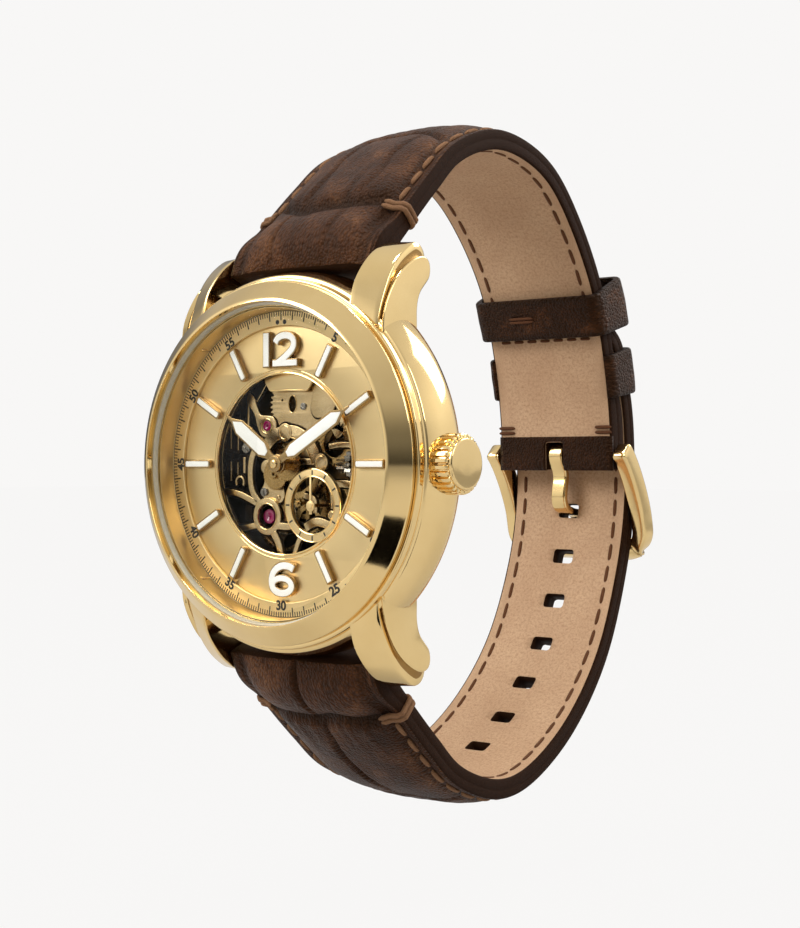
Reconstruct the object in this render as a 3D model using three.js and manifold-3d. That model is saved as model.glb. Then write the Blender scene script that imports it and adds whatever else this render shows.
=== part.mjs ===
// Skeleton wristwatch: a round gold case with an open dial, a hand-wound and self-winding
// movement, and a two-piece leather strap closed by a pin buckle. Millimetres.
// Part frame: origin at the centre of the case back's outer face, +Z to 12 o'clock,
// +X to the crown at 3 o'clock, and the dial faces -Y.
// The head of the watch is built in its own frame: x to 3 o'clock, y to 12 o'clock and
// z out of the dial towards the reader, with z = 0 on the dial's face.
import * as THREE from 'three';
import { mergeVertices } from 'three/addons/utils/BufferGeometryUtils.js';
import Module from 'manifold-3d';

const wasm = await Module();
wasm.setup();

// Driving dimensions
const DIAL_TO_BACK = 8.4;
const CASE_R = 22.0;
const CASE_BORE_R = 16.6;
const DIAL_SEAT_R = 17.75;
const DIAL_R = 17.65;
const DIAL_OPENING_R = 10.3;
const LUG_GAP = 22.3;
const BAR_Y = 22.9;
const BAR_Z = -4.6;
const STEM_Z = -2.5;
const STRAP_WIDTH = 22;
const STRAP_BACK_WIDTH = 18.4;
const HOUR_HAND_ANGLE = 305;
const MINUTE_HAND_ANGLE = 60;
const ROUND = 36;

// Arbors of the movement, in the plane of the dial
const CENTRE = [0, 0];
const MINUTE_ARBOR = [-2.1, -1.16];
const THIRD_ARBOR = [0.29, -4.49];
const FOURTH_ARBOR = [4.53, -4.65];
const ESCAPE_ARBOR = [3.44, -7.64];
const PALLET_ARBOR = [0.75, -7.25];
const BALANCE_STAFF = [-4.3, -6.1];
const BARREL_ARBOR = [1.15, 5.55];
const CROWN_WHEEL_POST = [5.9, 0];

const rad = THREE.MathUtils.degToRad;

// Materials
function metal(color, roughness) {
  return new THREE.MeshStandardMaterial({ color, roughness, metalness: 1 });
}

function plain(color, roughness) {
  return new THREE.MeshStandardMaterial({ color, roughness, metalness: 0 });
}

const POLISHED_GOLD = metal(0xd9b870, 0.15);
const BRUSHED_GOLD = metal(0xcfb27a, 0.35);
const DIAL_GOLD = metal(0xdcc492, 0.4);
const BRASS = metal(0xb08d4a, 0.3);
const STEEL = metal(0xb9b7b2, 0.3);
const BLACK_PLASTIC = plain(0x1b1a19, 0.6);
const WHITE_LUME = plain(0xf4f1e8, 0.5);
const RUBY = plain(0xb01440, 0.1);
const LEATHER = plain(0x5a3a22, 0.6);
const CRYSTAL = new THREE.MeshStandardMaterial({
  color: 0xf2f5f5, roughness: 0.02, metalness: 0, transparent: true, opacity: 0.25,
});

// Frames
const watch = new THREE.Group();
const head = new THREE.Group();
head.rotation.x = Math.PI / 2;
head.position.y = -DIAL_TO_BACK;
watch.add(head);

function place(name, geometry, material, [x, y] = [0, 0], parent = head) {
  const mesh = new THREE.Mesh(geometry, material);
  mesh.name = name;
  mesh.position.set(x, y, 0);
  parent.add(mesh);
}

// Solids
function toManifold(geometry) {
  const bare = geometry.clone();
  bare.deleteAttribute('normal');
  bare.deleteAttribute('uv');
  const merged = mergeVertices(bare, 1e-4);
  return new wasm.Manifold(new wasm.Mesh({
    numProp: 3,
    vertProperties: Float32Array.from(merged.attributes.position.array),
    triVerts: Uint32Array.from(merged.index.array),
  }));
}

function toGeometry(manifold) {
  const mesh = manifold.getMesh();
  const geometry = new THREE.BufferGeometry();
  geometry.setAttribute('position', new THREE.Float32BufferAttribute(mesh.vertProperties, 3));
  geometry.setIndex(Array.from(mesh.triVerts));
  return geometry;
}

function join(...geometries) {
  return toGeometry(geometries.map(toManifold).reduce((a, b) => a.add(b)));
}

function cut(geometry, ...tools) {
  return toGeometry(tools.map(toManifold).reduce((a, b) => a.subtract(b), toManifold(geometry)));
}

// A flat shape in the plane of the dial, between two heights
function plate(shape, low, high) {
  const geometry = new THREE.ExtrudeGeometry(shape, {
    depth: high - low, bevelEnabled: false, curveSegments: ROUND / 2,
  });
  return geometry.translate(0, 0, low);
}

// A turned solid about the dial's normal; the profile is a closed list of [radius, height]
function turned(profile, segments = ROUND) {
  const points = profile.map(([r, z]) => new THREE.Vector2(r, z));
  if (THREE.ShapeUtils.area(points) < 0) points.reverse();
  const onAxis = points[0].x === 0;
  if (!onAxis) points.push(points[0].clone());
  return new THREE.LatheGeometry(points, segments).rotateX(Math.PI / 2);
}

function disc(r, low, high, [x, y] = [0, 0], segments = 16) {
  const geometry = new THREE.CylinderGeometry(r, r, high - low, segments);
  return geometry.rotateX(Math.PI / 2).translate(x, y, (low + high) / 2);
}

function rod(r, x0, x1, y, z, segments = 16) {
  const geometry = new THREE.CylinderGeometry(r, r, x1 - x0, segments);
  return geometry.rotateZ(Math.PI / 2).translate((x0 + x1) / 2, y, z);
}

function block(x0, x1, y0, y1, z0, z1) {
  const geometry = new THREE.BoxGeometry(x1 - x0, y1 - y0, z1 - z0);
  return geometry.translate((x0 + x1) / 2, (y0 + y1) / 2, (z0 + z1) / 2);
}

function polygon(points) {
  return new THREE.Shape(points.map(([x, y]) => new THREE.Vector2(x, y)));
}

function circle(r, [x, y] = [0, 0], segments = 16) {
  const points = [];
  for (let i = 0; i < segments; i += 1) {
    const a = (2 * Math.PI * i) / segments;
    points.push([x + r * Math.cos(a), y + r * Math.sin(a)]);
  }
  return points;
}

function arcPoints(r, from, to, steps) {
  const points = [];
  for (let i = 0; i <= steps; i += 1) {
    const a = rad(from + ((to - from) * i) / steps);
    points.push([r * Math.cos(a), r * Math.sin(a)]);
  }
  return points;
}

// The outline of a line of even width along a list of points
function stroke(points, width) {
  const left = [];
  const right = [];
  points.forEach(([x, y], i) => {
    const [ax, ay] = points[Math.max(i - 1, 0)];
    const [bx, by] = points[Math.min(i + 1, points.length - 1)];
    const length = Math.hypot(bx - ax, by - ay);
    const nx = ((ay - by) / length) * (width / 2);
    const ny = ((bx - ax) / length) * (width / 2);
    left.push([x + nx, y + ny]);
    right.push([x - nx, y - ny]);
  });
  return polygon(left.concat(right.reverse()));
}

// A bar from one place to another in the plane of the dial
function bar(from, to, width, low, high) {
  return plate(stroke([from, to], width), low, high);
}

// An outline in the plane that holds 12 o'clock and the dial's normal, extruded across x
function acrossX(points, x0, x1) {
  const geometry = new THREE.ExtrudeGeometry(polygon(points), {
    depth: x1 - x0, bevelEnabled: false,
  });
  const turn = new THREE.Matrix4().makeBasis(
    new THREE.Vector3(0, 1, 0), new THREE.Vector3(0, 0, 1), new THREE.Vector3(1, 0, 0),
  );
  return geometry.applyMatrix4(turn).translate(x0, 0, 0);
}

function mirrored(points, ySign) {
  return points.map(([y, z]) => [y * ySign, z]);
}

// Case
const LUG_INNER = [
  [15.5, 1.5], [17.3, 1.5], [19.9, 0.7], [21.7, -0.6], [23.2, -2.1], [24.3, -3.9], [24.85, -5.6],
  [24.5, -7.2], [23.3, -7.6], [21.8, -7.2], [19.7, -5.3], [15.5, -5.0],
];
const LUG_OUTER = [
  [13.5, 1.05], [16.4, 0.85], [18.7, -0.3], [20.4, -1.5], [21.7, -2.95], [22.7, -4.7],
  [23.15, -6.1], [22.7, -7.15], [21.9, -7.45], [20.7, -7.3], [18.9, -5.45], [13.5, -5.0],
];
const LUG_STEP_X = 14.5;
const LUG_SIDE_X = 15.45;

function caseMiddle() {
  const barrel = turned([
    [DIAL_SEAT_R, 1.65], [20.9, 1.65], [20.95, 0.75], [21.4, 0.7], [CASE_R, -2.2],
    [CASE_R, -4.0], [21.3, -5.2], [17.3, -5.2], [17.3, -4.35], [CASE_BORE_R, -4.35],
    [CASE_BORE_R, -0.45], [DIAL_SEAT_R, -0.45],
  ]);
  const lugs = [];
  for (const ySign of [1, -1]) {
    for (const xSign of [1, -1]) {
      const tiers = [
        [LUG_INNER, LUG_GAP / 2, LUG_STEP_X],
        [LUG_OUTER, LUG_STEP_X - 0.2, LUG_SIDE_X],
      ];
      for (const [outline, near, far] of tiers) {
        const [x0, x1] = xSign > 0 ? [near, far] : [-far, -near];
        lugs.push(acrossX(mirrored(outline, ySign), x0, x1));
      }
    }
  }
  const tools = [rod(1.2, 15, 23, 0, STEM_Z), rod(3.6, 21.35, 23, 0, STEM_Z, 32)];
  for (const ySign of [1, -1]) {
    tools.push(rod(0.6, -12.4, 12.4, ySign * BAR_Y, BAR_Z, 12));
    tools.push(rod(2.0, -LUG_GAP / 2, LUG_GAP / 2, ySign * BAR_Y, BAR_Z, 20));
  }
  return cut(join(barrel, ...lugs), ...tools);
}

place('case_middle', caseMiddle(), POLISHED_GOLD);
place('bezel', turned([
  [17.75, 1.75], [20.45, 1.75], [20.45, 2.2], [20.2, 2.45], [18.4, 4.0], [18.15, 4.0],
  [18.15, 2.5], [17.75, 2.5],
]), POLISHED_GOLD);
place('crystal_gasket', turned([[17.9, 2.55], [18.1, 2.55], [18.1, 3.9], [17.9, 3.9]]),
  BLACK_PLASTIC);
place('crystal', turned([
  [0, 3.8], [9, 3.58], [16.6, 2.95], [16.9, 2.55], [17.85, 2.55], [17.85, 3.9], [17.3, 4.15],
  [9, 4.78], [0, 5.0],
]), CRYSTAL);

// Case back: a threaded ring with a flat window
place('case_back_ring', turned([
  [16.5, -8.4], [18.8, -7.5], [19.6, -6.2], [19.6, -5.25], [17.2, -5.25], [17.2, -4.4],
  [16.75, -4.4], [16.75, -5.3], [14.0, -7.25], [14.6, -7.25], [14.6, -8.4],
]), POLISHED_GOLD);
place('case_back_crystal', disc(14.5, -8.4, -7.3, CENTRE, ROUND), CRYSTAL);

// Dial: a ring-shaped plate with a blank tab at 12 o'clock and an open small-seconds ring
function dialPlate() {
  const outline = polygon(circle(DIAL_R, CENTRE, ROUND));
  const opening = arcPoints(DIAL_OPENING_R, 110, 430, 40);
  const tab = arcPoints(8.3, 70, 110, 8);
  outline.holes.push(polygon(opening.concat(tab)));
  const ring = polygon(circle(4.15, FOURTH_ARBOR, 36));
  const face = cut(
    join(plate(outline, -0.4, 0), plate(ring, -0.4, 0.12)),
    disc(3.2, -1, 1, FOURTH_ARBOR, 36),
  );
  return face;
}

place('dial', dialPlate(), DIAL_GOLD);
place('chapter_ring', turned([
  [15.7, 0.05], [17.68, 0.05], [17.68, 1.7], [17.55, 1.7], [17.43, 0.35], [15.7, 0.35],
]), DIAL_GOLD);

// Applied hour markers and numerals
const MARKER_HOURS = [1, 2, 3, 4, 5, 7, 8, 9, 10, 11];
for (const hour of MARKER_HOURS) {
  const marker = acrossX([[11.1, 0.05], [15.1, 0.05], [15.0, 0.55], [11.2, 0.55]], -0.475, 0.475);
  place(`hour_marker_${String(hour).padStart(2, '0')}`, marker.rotateZ(-rad(30 * hour)),
    WHITE_LUME);
}

function numeralTwelve() {
  const one = polygon([
    [-2.6, 14.2], [-1.5, 15.2], [-0.75, 15.2], [-0.75, 11.0], [-1.75, 11.0], [-1.75, 13.9],
  ]);
  const bow = arcPoints(1.15, 170, -40, 10).map(([x, y]) => [x + 1.35, y + 13.65]);
  const two = stroke(bow.concat([[0.35, 11.5]]), 0.95);
  const foot = polygon([[-0.05, 11.0], [2.7, 11.0], [2.7, 11.9], [-0.05, 11.9]]);
  const web = polygon([[-1.0, 11.1], [0.2, 11.1], [0.2, 11.5], [-1.0, 11.5]]);
  return join(
    plate(one, 0.05, 0.6), plate(two, 0.05, 0.6), plate(foot, 0.05, 0.6), plate(web, 0.05, 0.2),
  );
}

function numeralSix() {
  const bowl = polygon(circle(1.95, [0, -13.25], 24));
  bowl.holes.push(polygon(circle(0.85, [0, -13.25], 16)));
  const back = arcPoints(3.2, 182, 118, 8).map(([x, y]) => [x + 1.75, y - 13.3]);
  return join(plate(bowl, 0.05, 0.6), plate(stroke(back, 1.0), 0.05, 0.6));
}

place('numeral_twelve', numeralTwelve(), WHITE_LUME);
place('numeral_six', numeralSix(), WHITE_LUME);

// Movement plates. Heights fall towards the case back.
const stemSlot = block(10, 18, -0.8, 0.8, STEM_Z - 0.8, STEM_Z + 0.8);
place('movement_ring', cut(turned([
  [13.2, -5.1], [16.5, -5.1], [16.5, -0.5], [13.2, -0.5],
]), stemSlot), BLACK_PLASTIC);
place('crown_tube', rodTube(16.8, 22.3, 1.15, 0.75), STEEL);

function rodTube(x0, x1, outer, inner) {
  return cut(rod(outer, x0, x1, 0, STEM_Z, 20), rod(inner, x0 - 1, x1 + 1, 0, STEM_Z, 20));
}

function halfRing(inner, outer, from, to, low, high) {
  const steps = Math.round(Math.abs(to - from) / 12);
  const outline = arcPoints(outer, from, to, steps).concat(arcPoints(inner, to, from, steps));
  return plate(polygon(outline), low, high);
}

place('main_plate', cut(join(
  turned([[11.9, -3.7], [13.1, -3.7], [13.1, -1.9], [11.9, -1.9]], 24),
  halfRing(11.9, 13.1, 180, 342, -5.3, -3.6),
), stemSlot), BRUSHED_GOLD);

// The bridge under the dial carries the front ends of the arbors and the motion work
function dialSideBridge() {
  const rim = turned([[10.9, -1.85], [13.0, -1.85], [13.0, -1.3], [10.9, -1.3]], 24);
  const low = -1.85;
  const high = -1.3;
  const arms = [
    bar([-11.4, 2.4], [-0.8, 0.4], 1.7, low, high),
    bar([-0.8, 0.2], [0.29, -4.5], 1.6, low, high),
    bar([0.2, -4.4], [4.6, -4.6], 1.5, low, high),
    bar([4.5, -4.6], [3.4, -7.7], 1.5, low, high),
    bar([3.4, -7.6], [5.6, -10.6], 1.6, low, high),
    bar([-0.2, 0.3], [-0.8, 3.7], 2.0, low, high),
    bar([-0.8, 3.6], [-3.9, 4.5], 1.8, low, high),
    bar([-3.9, 4.4], [-6.6, 9.4], 1.6, low, high),
    bar([0, 0], [4.6, 0.35], 1.7, low, high),
    bar([-7.4, 1.8], [-4.4, -3.2], 1.5, low, high),
    bar([-10.9, -4.4], [-4.3, -6.1], 1.3, low, high),
    bar([-4.3, -6.1], [-4.2, -11.2], 1.3, low, high),
  ];
  const bosses = [
    disc(1.3, low, high, CENTRE, 12),
    disc(1.1, low, high, THIRD_ARBOR, 12),
    disc(1.2, low, high, FOURTH_ARBOR, 12),
    disc(1.1, low, high, ESCAPE_ARBOR, 12),
    disc(1.5, low, high, [-0.8, 3.6], 14),
    disc(1.6, low, high, [4.4, 0.35], 14),
    disc(1.4, low, high, [-3.9, 4.4], 14),
    disc(1.9, low, high, BALANCE_STAFF, 16),
    disc(1.2, low, high, [-7.4, 1.9], 12),
    disc(1.2, low, high, [-4.4, -3.15], 12),
    disc(0.15, low, -0.62, MINUTE_ARBOR, 8),
    disc(0.9, low, -1.2, MINUTE_ARBOR, 10),
  ];
  const holes = [
    disc(0.4, -3, 0, CENTRE, 10),
    disc(0.4, -3, 0, FOURTH_ARBOR, 10),
    disc(0.95, -3, 0, BALANCE_STAFF, 12),
    disc(0.6, -3, 0, [-3.9, 4.4], 10),
    block(5.0, 10.2, -2.1, 2.1, -1.9, -1.2),
  ];
  return cut(join(rim, ...arms, ...bosses), ...holes);
}

place('dial_side_bridge', dialSideBridge(), BRUSHED_GOLD);
place('jewel_upper', turned([
  [0.12, -1.6], [0.5, -1.6], [0.5, -1.15], [0.3, -1.1], [0.12, -1.2],
], 12), RUBY, [-3.9, 4.4]);
place('jewel_balance', turned([
  [0.21, -2.4], [0.85, -2.4], [0.85, -1.4], [0.5, -1.25], [0.21, -1.4],
], 12), RUBY, BALANCE_STAFF);

function barrelBridge() {
  const inner = [
    [9.4, -2.5], [4.4, -2.3], [2.6, -0.5], [0.5, 1.4], [-3.2, 1.9], [-6.6, 4.0],
  ];
  const outline = polygon(arcPoints(13.0, 152, -12, 14).concat(inner));
  return cut(
    join(plate(outline, -4.35, -3.75), disc(0.7, -4.72, -3.75, CROWN_WHEEL_POST)),
    disc(0.6, -5, -3, BARREL_ARBOR),
    block(8.0, 9.4, -2.0, 2.0, -5, -3),
  );
}

function trainBridge() {
  const inner = [
    [9.4, -2.4], [2.2, 1.3], [-1.2, 1.3], [-1.4, -1.4], [-1.0, -5.2], [-0.6, -8.6],
  ];
  const outline = polygon(arcPoints(13.0, 285, 346, 6).concat(inner));
  return plate(outline, -5.8, -5.35);
}

function balanceCock() {
  return join(
    disc(1.6, -5.8, -5.35, BALANCE_STAFF, 20),
    bar(BALANCE_STAFF, [-7.2, -10.2], 2.6, -5.8, -5.35),
  );
}

place('barrel_bridge', barrelBridge(), BRUSHED_GOLD);
place('train_bridge', trainBridge(), BRUSHED_GOLD);
place('balance_cock', balanceCock(), BRUSHED_GOLD);

// Gears have pointed teeth: tips stand 0.6 modules out and roots lie 0.95 modules in
function toothRadii({ teeth, module }) {
  const pitch = (teeth * module) / 2;
  return [pitch + 0.6 * module, pitch - 0.95 * module];
}

function gearOutline({ teeth, module, phase = 0 }) {
  const [tip, root] = toothRadii({ teeth, module });
  const points = [];
  for (let i = 0; i < teeth * 2; i += 1) {
    const a = phase + (Math.PI * i) / teeth;
    const r = i % 2 === 0 ? tip : root;
    points.push([r * Math.cos(a), r * Math.sin(a)]);
  }
  return polygon(points);
}

// The phase that puts a gap of this gear against a tooth of the gear that drives it
function meshPhase(driver, from, gear, to) {
  const line = Math.atan2(to[1] - from[1], to[0] - from[0]);
  const driverPitch = (2 * Math.PI) / driver.teeth;
  const offset = ((driver.phase ?? 0) - line) * (driver.teeth * driver.module) / 2;
  const half = (driverPitch * driver.teeth * driver.module) / 4;
  return line + Math.PI - (offset + half) / ((gear.teeth * gear.module) / 2);
}

function spoked(shape, hub, rim, arms) {
  for (let i = 0; i < arms; i += 1) {
    const from = (360 * i) / arms + 10;
    const to = (360 * (i + 1)) / arms - 10;
    const window = arcPoints(rim, from, to, 3).concat(arcPoints(hub, to - 10, from + 10, 1));
    shape.holes.push(polygon(window));
  }
  return shape;
}

function wheel(gear, low, high, arms = 0) {
  const outline = gearOutline(gear);
  if (arms) {
    const [, root] = toothRadii(gear);
    spoked(outline, root * 0.3, root * 0.84, arms);
  }
  return plate(outline, low, high);
}

const centreGear = { teeth: 64, module: 0.125, phase: 0 };
const centrePinion = { teeth: 10, module: 0.162, phase: 0 };
const thirdPinion = { teeth: 8, module: 0.125 };
thirdPinion.phase = meshPhase(centreGear, CENTRE, thirdPinion, THIRD_ARBOR);
const thirdGear = { teeth: 60, module: 0.125, phase: 0 };
const fourthPinion = { teeth: 8, module: 0.125 };
fourthPinion.phase = meshPhase(thirdGear, THIRD_ARBOR, fourthPinion, FOURTH_ARBOR);
const fourthGear = { teeth: 72, module: 0.0815, phase: 0 };
const escapePinion = { teeth: 6, module: 0.0815 };
escapePinion.phase = meshPhase(fourthGear, FOURTH_ARBOR, escapePinion, ESCAPE_ARBOR);
const barrelGear = { teeth: 60, module: 0.162 };
barrelGear.phase = meshPhase(centrePinion, CENTRE, barrelGear, BARREL_ARBOR);
const cannonGear = { teeth: 12, module: 0.1, phase: 0 };
const minuteGear = { teeth: 36, module: 0.1 };
minuteGear.phase = meshPhase(cannonGear, CENTRE, minuteGear, MINUTE_ARBOR);
const minutePinion = { teeth: 10, module: 0.096, phase: 0 };
const hourGear = { teeth: 40, module: 0.096 };
hourGear.phase = meshPhase(minutePinion, MINUTE_ARBOR, hourGear, CENTRE);
const KEYLESS_MODULE = 0.19224;
const crownGear = { teeth: 30, module: KEYLESS_MODULE, phase: 0 };
const ratchetGear = { teeth: 46, module: KEYLESS_MODULE };
ratchetGear.phase = meshPhase(crownGear, CROWN_WHEEL_POST, ratchetGear, BARREL_ARBOR);

// Going train
place('centre_wheel', join(
  wheel(centreGear, -2.4, -2.2, 3), disc(0.25, -5.3, -1.2, CENTRE, 8),
  wheel(centrePinion, -3.62, -3.38),
), BRASS, CENTRE);
place('third_wheel', join(
  wheel(thirdGear, -3.3, -3.1, 3), disc(0.2, -5.3, -1.9, CENTRE, 8),
  wheel(thirdPinion, -2.5, -2.1),
), BRASS, THIRD_ARBOR);
place('fourth_wheel', join(
  wheel(fourthGear, -3.57, -3.42, 3), disc(0.2, -5.3, 0.33, CENTRE, 8),
  wheel(fourthPinion, -3.35, -3.05),
), BRASS, FOURTH_ARBOR);

function escapeWheel() {
  const points = [];
  const TEETH = 15;
  for (let i = 0; i < TEETH; i += 1) {
    const a = (360 * i) / TEETH;
    points.push(...arcPoints(1.35, a, a + 2, 1), ...arcPoints(1.0, a + 8, a + 20, 1));
  }
  return join(
    plate(polygon(points), -4.4, -4.2), disc(0.13, -5.3, -1.9, CENTRE, 10),
    wheel(escapePinion, -3.65, -3.3),
  );
}

place('escape_wheel', escapeWheel(), STEEL, ESCAPE_ARBOR);

// Lever with two pallets; drawn with the escape wheel along +x, then turned to face it
function palletFork() {
  const facing = Math.atan2(
    ESCAPE_ARBOR[1] - PALLET_ARBOR[1], ESCAPE_ARBOR[0] - PALLET_ARBOR[0],
  );
  const towardsBalance = Math.atan2(
    BALANCE_STAFF[1] - PALLET_ARBOR[1], BALANCE_STAFF[0] - PALLET_ARBOR[0],
  );
  const anchor = stroke([[1.75, -1.55], [0.5, -0.9], [0.0, 0], [0.5, 0.9], [1.75, 1.55]], 0.4);
  const lever = bar([0, 0], [4.1, 0], 0.35, -4.4, -4.2);
  return join(
    plate(anchor, -4.4, -4.2).rotateZ(facing),
    lever.rotateZ(towardsBalance),
    disc(0.35, -4.4, -4.2, CENTRE, 12),
    disc(0.12, -5.3, -4.0, CENTRE, 10),
  );
}

place('pallet_fork', palletFork(), STEEL, PALLET_ARBOR);

function spiral(inner, outer, turns, steps, width, low, high) {
  const points = [];
  for (let i = 0; i <= steps; i += 1) {
    const a = (2 * Math.PI * turns * i) / steps;
    const r = inner + ((outer - inner) * i) / steps;
    points.push([r * Math.cos(a), r * Math.sin(a)]);
  }
  return plate(stroke(points, width), low, high);
}

place('balance_wheel', join(
  turned([[3.75, -4.95], [4.2, -4.95], [4.2, -4.6], [3.75, -4.6]], 28),
  bar([-3.9, 0], [3.9, 0], 0.6, -4.9, -4.7),
  disc(0.2, -5.3, -2.6, CENTRE, 10),
  disc(0.6, -4.7, -4.2, CENTRE, 14),
), BRASS, BALANCE_STAFF);
place('hairspring', cut(join(
  spiral(0.55, 2.4, 4, 48, 0.1, -5.2, -5.05),
  disc(0.62, -5.2, -5.05, CENTRE, 14),
), disc(0.28, -6, -4, CENTRE, 10)), STEEL, BALANCE_STAFF);

// Barrel: a toothed floor, a wall and a cover with three windows over the mainspring
function mainspringBarrel() {
  const floor = wheel(barrelGear, -3.6, -3.4);
  const wall = turned([[4.1, -3.45], [4.5, -3.45], [4.5, -2.7], [4.1, -2.7]], 24);
  const cover = spoked(polygon(circle(4.3, CENTRE, 24)), 1.6, 3.7, 3);
  return cut(join(floor, wall, plate(cover, -2.85, -2.7)), disc(0.6, -4, -2, CENTRE, 12));
}

place('mainspring_barrel', mainspringBarrel(), BRASS, BARREL_ARBOR);
place('mainspring', spiral(1.0, 3.9, 4, 48, 0.2, -3.3, -2.95), STEEL, BARREL_ARBOR);

// Keyless works and winding train
place('ratchet_wheel', join(
  wheel(ratchetGear, -4.65, -4.45), disc(0.5, -4.7, -2.2, CENTRE, 10),
), STEEL, BARREL_ARBOR);
place('crown_wheel', cut(
  wheel(crownGear, -4.65, -4.45), disc(0.8, -5, -4, CENTRE, 16),
), STEEL, CROWN_WHEEL_POST);

function alongStem(outline, x0, x1) {
  const geometry = new THREE.ExtrudeGeometry(outline, { depth: x1 - x0, bevelEnabled: false });
  const turn = new THREE.Matrix4().makeBasis(
    new THREE.Vector3(0, 1, 0), new THREE.Vector3(0, 0, 1), new THREE.Vector3(1, 0, 0),
  );
  return geometry.applyMatrix4(turn).translate(x0, 0, STEM_Z);
}

const windingPinion = { teeth: 18, module: 0.185 };
const stemBore = rod(0.55, 0, 20, 0, STEM_Z, 12);
place('winding_pinion', cut(alongStem(gearOutline(windingPinion), 8.25, 9.1), stemBore), STEEL);
place('clutch_wheel', cut(alongStem(gearOutline({ teeth: 12, module: 0.17 }), 6.6, 8.1),
  stemBore), STEEL);
place('winding_stem', rod(0.45, 5.6, 22.6, 0, STEM_Z, 12), STEEL);

function crown() {
  const flutes = [];
  const FLUTES = 24;
  for (let i = 0; i < FLUTES * 2; i += 1) {
    const a = (Math.PI * i) / FLUTES;
    const r = i % 2 === 0 ? 3.3 : 3.08;
    flutes.push([r * Math.cos(a), r * Math.sin(a)]);
  }
  const cap = new THREE.CylinderGeometry(2.5, 2.9, 0.3, 20);
  cap.rotateZ(-Math.PI / 2).translate(24.0, 0, STEM_Z);
  return cut(
    join(alongStem(polygon(flutes), 21.5, 23.9), cap), rod(1.3, 21, 22.7, 0, STEM_Z, 20),
  );
}

place('crown', crown(), POLISHED_GOLD);

// Rotor: a half ring of heavy metal on a thin web, hanging at 6 o'clock
function rotor() {
  const web = polygon(arcPoints(11.9, 182, 358, 18).concat([[1.4, 0.6], [-1.4, 0.6]]));
  const weight = halfRing(9.6, 12.5, 182, 358, -7.05, -6.2);
  return join(
    plate(web, -6.5, -6.2), weight, disc(1.8, -6.8, -5.95, CENTRE, 20),
  );
}

place('rotor', rotor(), BRUSHED_GOLD);

// Motion work and hands
place('hour_wheel', cut(
  join(wheel(hourGear, -0.78, -0.6), disc(0.75, -0.7, 0.7, CENTRE, 16)),
  disc(0.55, -2, 2, CENTRE, 16),
), BRASS);
place('cannon_pinion', join(
  wheel(cannonGear, -1.15, -0.9), disc(0.42, -1.0, 1.2, CENTRE, 12),
), STEEL);
place('minute_wheel', cut(
  join(wheel(minuteGear, -1.15, -0.93), wheel(minutePinion, -1.0, -0.62)),
  disc(0.22, -2, 0, CENTRE, 12),
), BRASS, MINUTE_ARBOR);

// A hand points to +y and is turned clockwise to its hour
function hand(outline, low, high, hub, tail) {
  return join(plate(polygon(outline), low, high), disc(hub, low, high + tail, CENTRE, 16));
}

const hourOutline = [
  [-0.45, 0], [-0.55, 1.6], [-0.75, 2.2], [-0.95, 7.6], [0, 9.9], [0.95, 7.6], [0.75, 2.2],
  [0.55, 1.6], [0.45, 0], [0.4, -2.2], [-0.4, -2.2],
];
const minuteOutline = [
  [-0.4, 0], [-0.5, 1.8], [-0.7, 2.4], [-0.85, 10.3], [0, 12.6], [0.85, 10.3], [0.7, 2.4],
  [0.5, 1.8], [0.4, 0], [0.35, -2.6], [-0.35, -2.6],
];
place('hour_hand', cut(
  hand(hourOutline, 0.75, 0.95, 1.1, 0.05), disc(0.55, 0, 2, CENTRE, 16),
).rotateZ(-rad(HOUR_HAND_ANGLE)), WHITE_LUME);
place('minute_hand', hand(minuteOutline, 1.25, 1.45, 0.95, 0.15).rotateZ(
  -rad(MINUTE_HAND_ANGLE),
), WHITE_LUME);
place('seconds_hand', hand([[-0.08, 0], [-0.05, 3.05], [0.05, 3.05], [0.08, 0], [0.1, -1.1],
  [-0.1, -1.1]], 0.38, 0.5, 0.5, 0.1), POLISHED_GOLD, FOURTH_ARBOR);

// Spring bars between the lugs
function springBar(y) {
  return join(rod(0.75, -10.9, 10.9, y, BAR_Z, 12), rod(0.45, -12.2, 12.2, y, BAR_Z, 12));
}

place('spring_bar_upper', springBar(BAR_Y), STEEL);
place('spring_bar_lower', springBar(-BAR_Y), STEEL);

// Strap. Its side view lies in the plane x = 0 as [y, z], with y from the dial's plane
// towards the wrist and z to 12 o'clock. Each half is laid out along its inner face.
const strap = new THREE.Group();
strap.position.y = -DIAL_TO_BACK;
watch.add(strap);

const SPRING_BAR = [-BAR_Z, BAR_Y];
const BUCKLE_BAR = [57.5, 1.1];
const LAYER_GAP = 0.35;
const STRAP_STEPS = 34;
const BUCKLE_SIDE = 1;
const LONG_SIDE = -1;

function sideCurve(points) {
  return new THREE.CatmullRomCurve3(points.map(([y, z]) => new THREE.Vector3(0, y, z)));
}

function eased(t, from, to) {
  return THREE.MathUtils.smoothstep(t, from, to);
}

const bucklePath = sideCurve([
  [5.7, 21.0], [7.0, 24.0], [9.8, 27.0], [15.2, 32.1], [19.7, 35.8], [27.3, 38.5], [33.8, 38.3],
  [40.1, 36.1], [45.6, 31.2], [51.0, 23.4], [54.0, 14.6], [55.6, 6.0], [55.9, -0.8],
]);

function strapWidth(t) {
  return STRAP_WIDTH - (STRAP_WIDTH - STRAP_BACK_WIDTH) * eased(t, 0.05, 0.7);
}

function buckleThickness(t) {
  return 3.5 - 0.9 * eased(t, 0.05, 0.3) + 0.8 * eased(t, 0.86, 0.92);
}

function longThickness(t) {
  return 3.5 - 0.9 * eased(t, 0.05, 0.3) - 0.3 * eased(t, 0.7, 0.9);
}

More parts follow.
